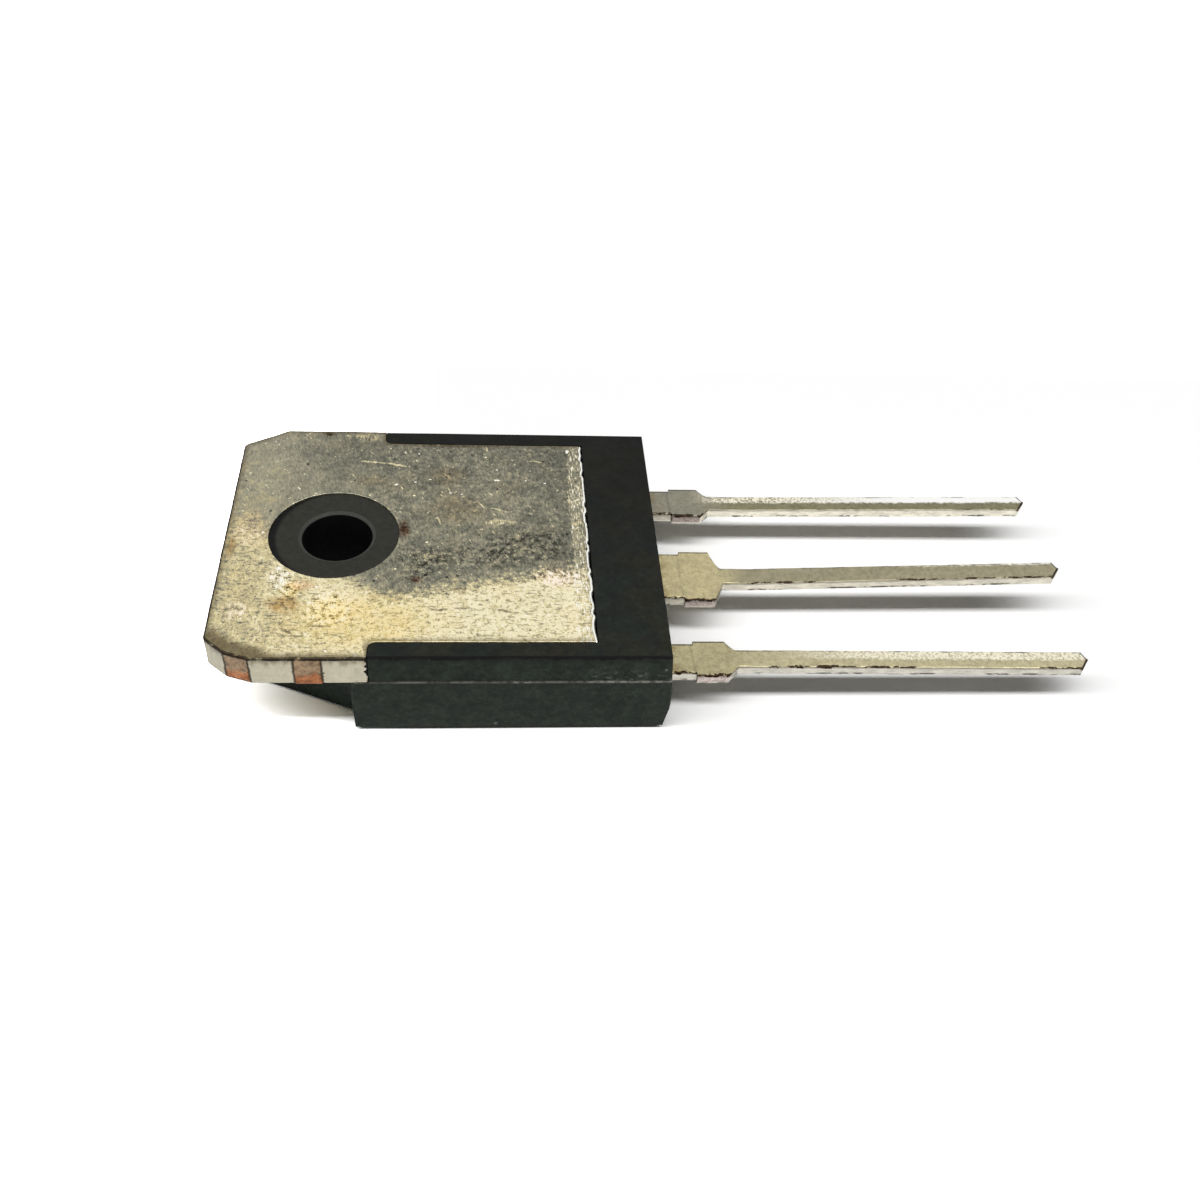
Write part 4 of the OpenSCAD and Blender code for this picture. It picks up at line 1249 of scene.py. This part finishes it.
@dataclass
class MouldedBody:
    """The moulding: its solid with merged faces and eased edges."""

    node: str = "moulded_body"
    ease_w: float = 0.03
    sharp: float = 28.0  # angle in degrees from which an edge is eased
    flat: float = 0.4  # angle in degrees up to which faces are merged
    merged: float = 1e-7  # distance in metres up to which points are merged

    def build(self, solid: bpy.types.Object, finish: BlackMoulding) -> bpy.types.Object:
        """Copies the solid's mesh, merges it into flat faces and eases every sharp edge.

        Args:
            solid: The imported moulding.
            finish: Its finish.

        Returns:
            The eased piece.
        """
        mesh = solid.data.copy()
        mesh.name = "moulding"
        work = bmesh.new()
        work.from_mesh(mesh)
        bmesh.ops.remove_doubles(work, verts=work.verts, dist=self.merged)
        bmesh.ops.dissolve_limit(
            work, angle_limit=math.radians(self.flat), verts=work.verts, edges=work.edges)
        work.to_mesh(mesh)
        work.free()
        mesh.materials.clear()
        mesh.materials.append(finish.material())
        piece = linked("moulding", mesh)
        bevel = piece.modifiers.new("eased_edges", "BEVEL")
        bevel.width = self.ease_w * MM
        bevel.segments = 2
        bevel.limit_method = "ANGLE"
        bevel.angle_limit = math.radians(self.sharp)
        bevel.use_clamp_overlap = True
        bevel.harden_normals = False
        return piece


# ---------------------------------------------------------------- studio


@dataclass(frozen=True)
class Studio:
    """Pale floor, one soft lamp over the near side that is long in X, and a white surround."""

    floor_half: float = 400.0
    floor_colour: Colour = (0.97, 0.97, 0.97)
    seen_extra: tuple[float, float] = (2.4, 0.06)  # light added for the camera: under the tab, by the leads
    shadow_reach: float = 18.0  # distance behind the part's axis from which the floor is seen lighter
    key_direction: tuple[float, float, float] = (0.0, -0.23, 1.0)
    key_distance: float = 850.0
    key_size: tuple[float, float] = (2400.0, 150.0)
    key_power: float = 13.4
    fill: float = 0.056  # strength of the surround where it only lights
    mirrored: float = 0.92  # strength of the surround in mirroring surfaces

    def floor(self) -> None:
        """Lays the floor under the part. The camera sees it lighter than it lights the part, most of
        all under the tab, so that the deep shadows stay only by the leads."""
        half = self.floor_half
        sides = np.linspace(-half, half, 5)
        x, y = np.meshgrid(sides, sides, indexing="ij")
        n = FinishNodes("pale_floor")
        colour = n.shade(self.floor_colour, n.noise(0.05), 0.995, 1.005)
        for key, value in {"Base Color": colour, "Roughness": 0.9, "Specular IOR Level": 0.0}.items():
            n.plug(n.skin.inputs[key], value)
        seen = n.wire("ShaderNodeLightPath", out="Is Camera Ray")
        level = n.larger(n.band(n.x, -1.0, 4.0, *self.seen_extra),
                         n.band(n.y, self.shadow_reach, 2 * self.shadow_reach))
        extra = n.wire("ShaderNodeBsdfDiffuse", {"Color": n.scaled((1.0, 1.0, 1.0), seen * level)})
        both = n.wire("ShaderNodeAddShader", {0: n.surface, 1: extra})
        n.plug(n.output.inputs["Surface"], both)
        floor = Sheet(np.stack([x, y, x * 0 - 0.002], axis=-1)).piece("floor", n.material)
        if floor.data.polygons[0].normal.z < 0:
            floor.data.flip_normals()

    def lamps(self) -> None:
        """Hangs the lamp, with its long side along X."""
        data = bpy.data.lights.new("key", "AREA")
        data.shape = "RECTANGLE"
        data.size, data.size_y = (side * MM for side in self.key_size)
        data.energy = self.key_power
        lamp = linked("key", data)
        direction = Vector(self.key_direction).normalized()
        aim = Vector((12, 0, 2)) * MM
        lamp.location = aim + direction * self.key_distance * MM
        lamp.rotation_euler = direction.to_track_quat("Z", "Y").to_euler()

    def surround(self) -> None:
        """World: white where it is seen or mirrored, and a plain fill light otherwise."""
        world = bpy.data.worlds.new("surround")
        bpy.context.scene.world = world
        world.use_nodes = True
        n = Nodes(world.node_tree)
        level: Plug = self.fill
        for ray, strength in (("Is Camera Ray", 1.0), ("Is Glossy Ray", self.mirrored),
                              ("Is Transmission Ray", self.mirrored)):
            level = n.larger(n.wire("ShaderNodeLightPath", out=ray) * strength, level)
        back = n.wire("ShaderNodeBackground", {"Color": (1.0, 1.0, 1.0), "Strength": level})
        n.node("ShaderNodeOutputWorld", {"Surface": back})

    def build(self) -> None:
        """Sets up floor, lamp and surround."""
        self.floor()
        self.lamps()
        self.surround()
        bpy.context.scene.view_settings.view_transform = "Standard"


@dataclass(frozen=True)
class Viewpoint:
    """Camera over the near side, looking down along the leads."""

    elevation: float = 44.025
    azimuth: float = -7.332
    roll: float = 5.267
    lens: float = 38.216
    target: tuple[float, float, float] = (11.765, -4.276, 4.8)
    distance: float = 56.103

    def build(self) -> None:
        """Places the camera: back is the way from the target to the camera, right is level, and
        both right and up are rolled about back."""
        el, az, roll = (math.radians(a) for a in (self.elevation, self.azimuth, self.roll))
        back = Vector((math.sin(az) * math.cos(el), -math.cos(az) * math.cos(el), math.sin(el)))
        right = Vector((math.cos(az), math.sin(az), 0))
        up = back.cross(right)
        turned = right * math.cos(roll) + up * math.sin(roll)
        up = up * math.cos(roll) - right * math.sin(roll)
        data = bpy.data.cameras.new("camera")
        data.sensor_width, data.lens = 36.0, self.lens
        data.clip_start, data.clip_end = 0.001, 10.0
        camera = linked("camera", data)
        axes = Matrix((turned, up, back)).transposed().to_4x4()
        camera.matrix_world = Matrix.Translation((Vector(self.target) + back * self.distance) * MM) @ axes
        bpy.context.scene.camera = camera


# ---------------------------------------------------------------- the whole part


def dress_inside(nodes: dict[str, bpy.types.Object]) -> None:
    """Gives the chips, their solder and the bond wires their finishes."""
    finishes = {
        "chip_solder": InnerMetal("grey_solder", paint(150, 150, 148), 0.35, 1.0, 3.0),
        "diode_chip": InnerMetal("silicon", paint(92, 96, 108), 0.15, 0.6, 1.0),
        "bond_wire": InnerMetal("bond_aluminium", paint(205, 206, 208), 0.25, 1.0, 6.0),
    }
    for key, finish in finishes.items():
        material = finish.material()
        for name, node in nodes.items():
            if name.startswith(key):
                for slot in node.material_slots:
                    slot.material = material
                log.info("%s keeps its solid, in %s", name, finish.name)


def main() -> None:
    """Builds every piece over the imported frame."""
    logging.basicConfig(level=logging.INFO, format="%(name)s: %(message)s")
    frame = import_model()
    nodes = frame["nodes"]
    Viewpoint().build()
    Studio().build()

    spreader = HeatSpreader().build(TinnedBack())
    place_piece(spreader, "tinned_copper", "heatsink_leadframe")
    for lead, node in LeadSet().build():
        place_piece(lead, "tinned_copper", node)
    body = MouldedBody()
    place_piece(body.build(nodes[body.node], BlackMoulding()), "moulding", body.node)
    dress_inside(nodes)


if __name__ == "__main__":
    main()
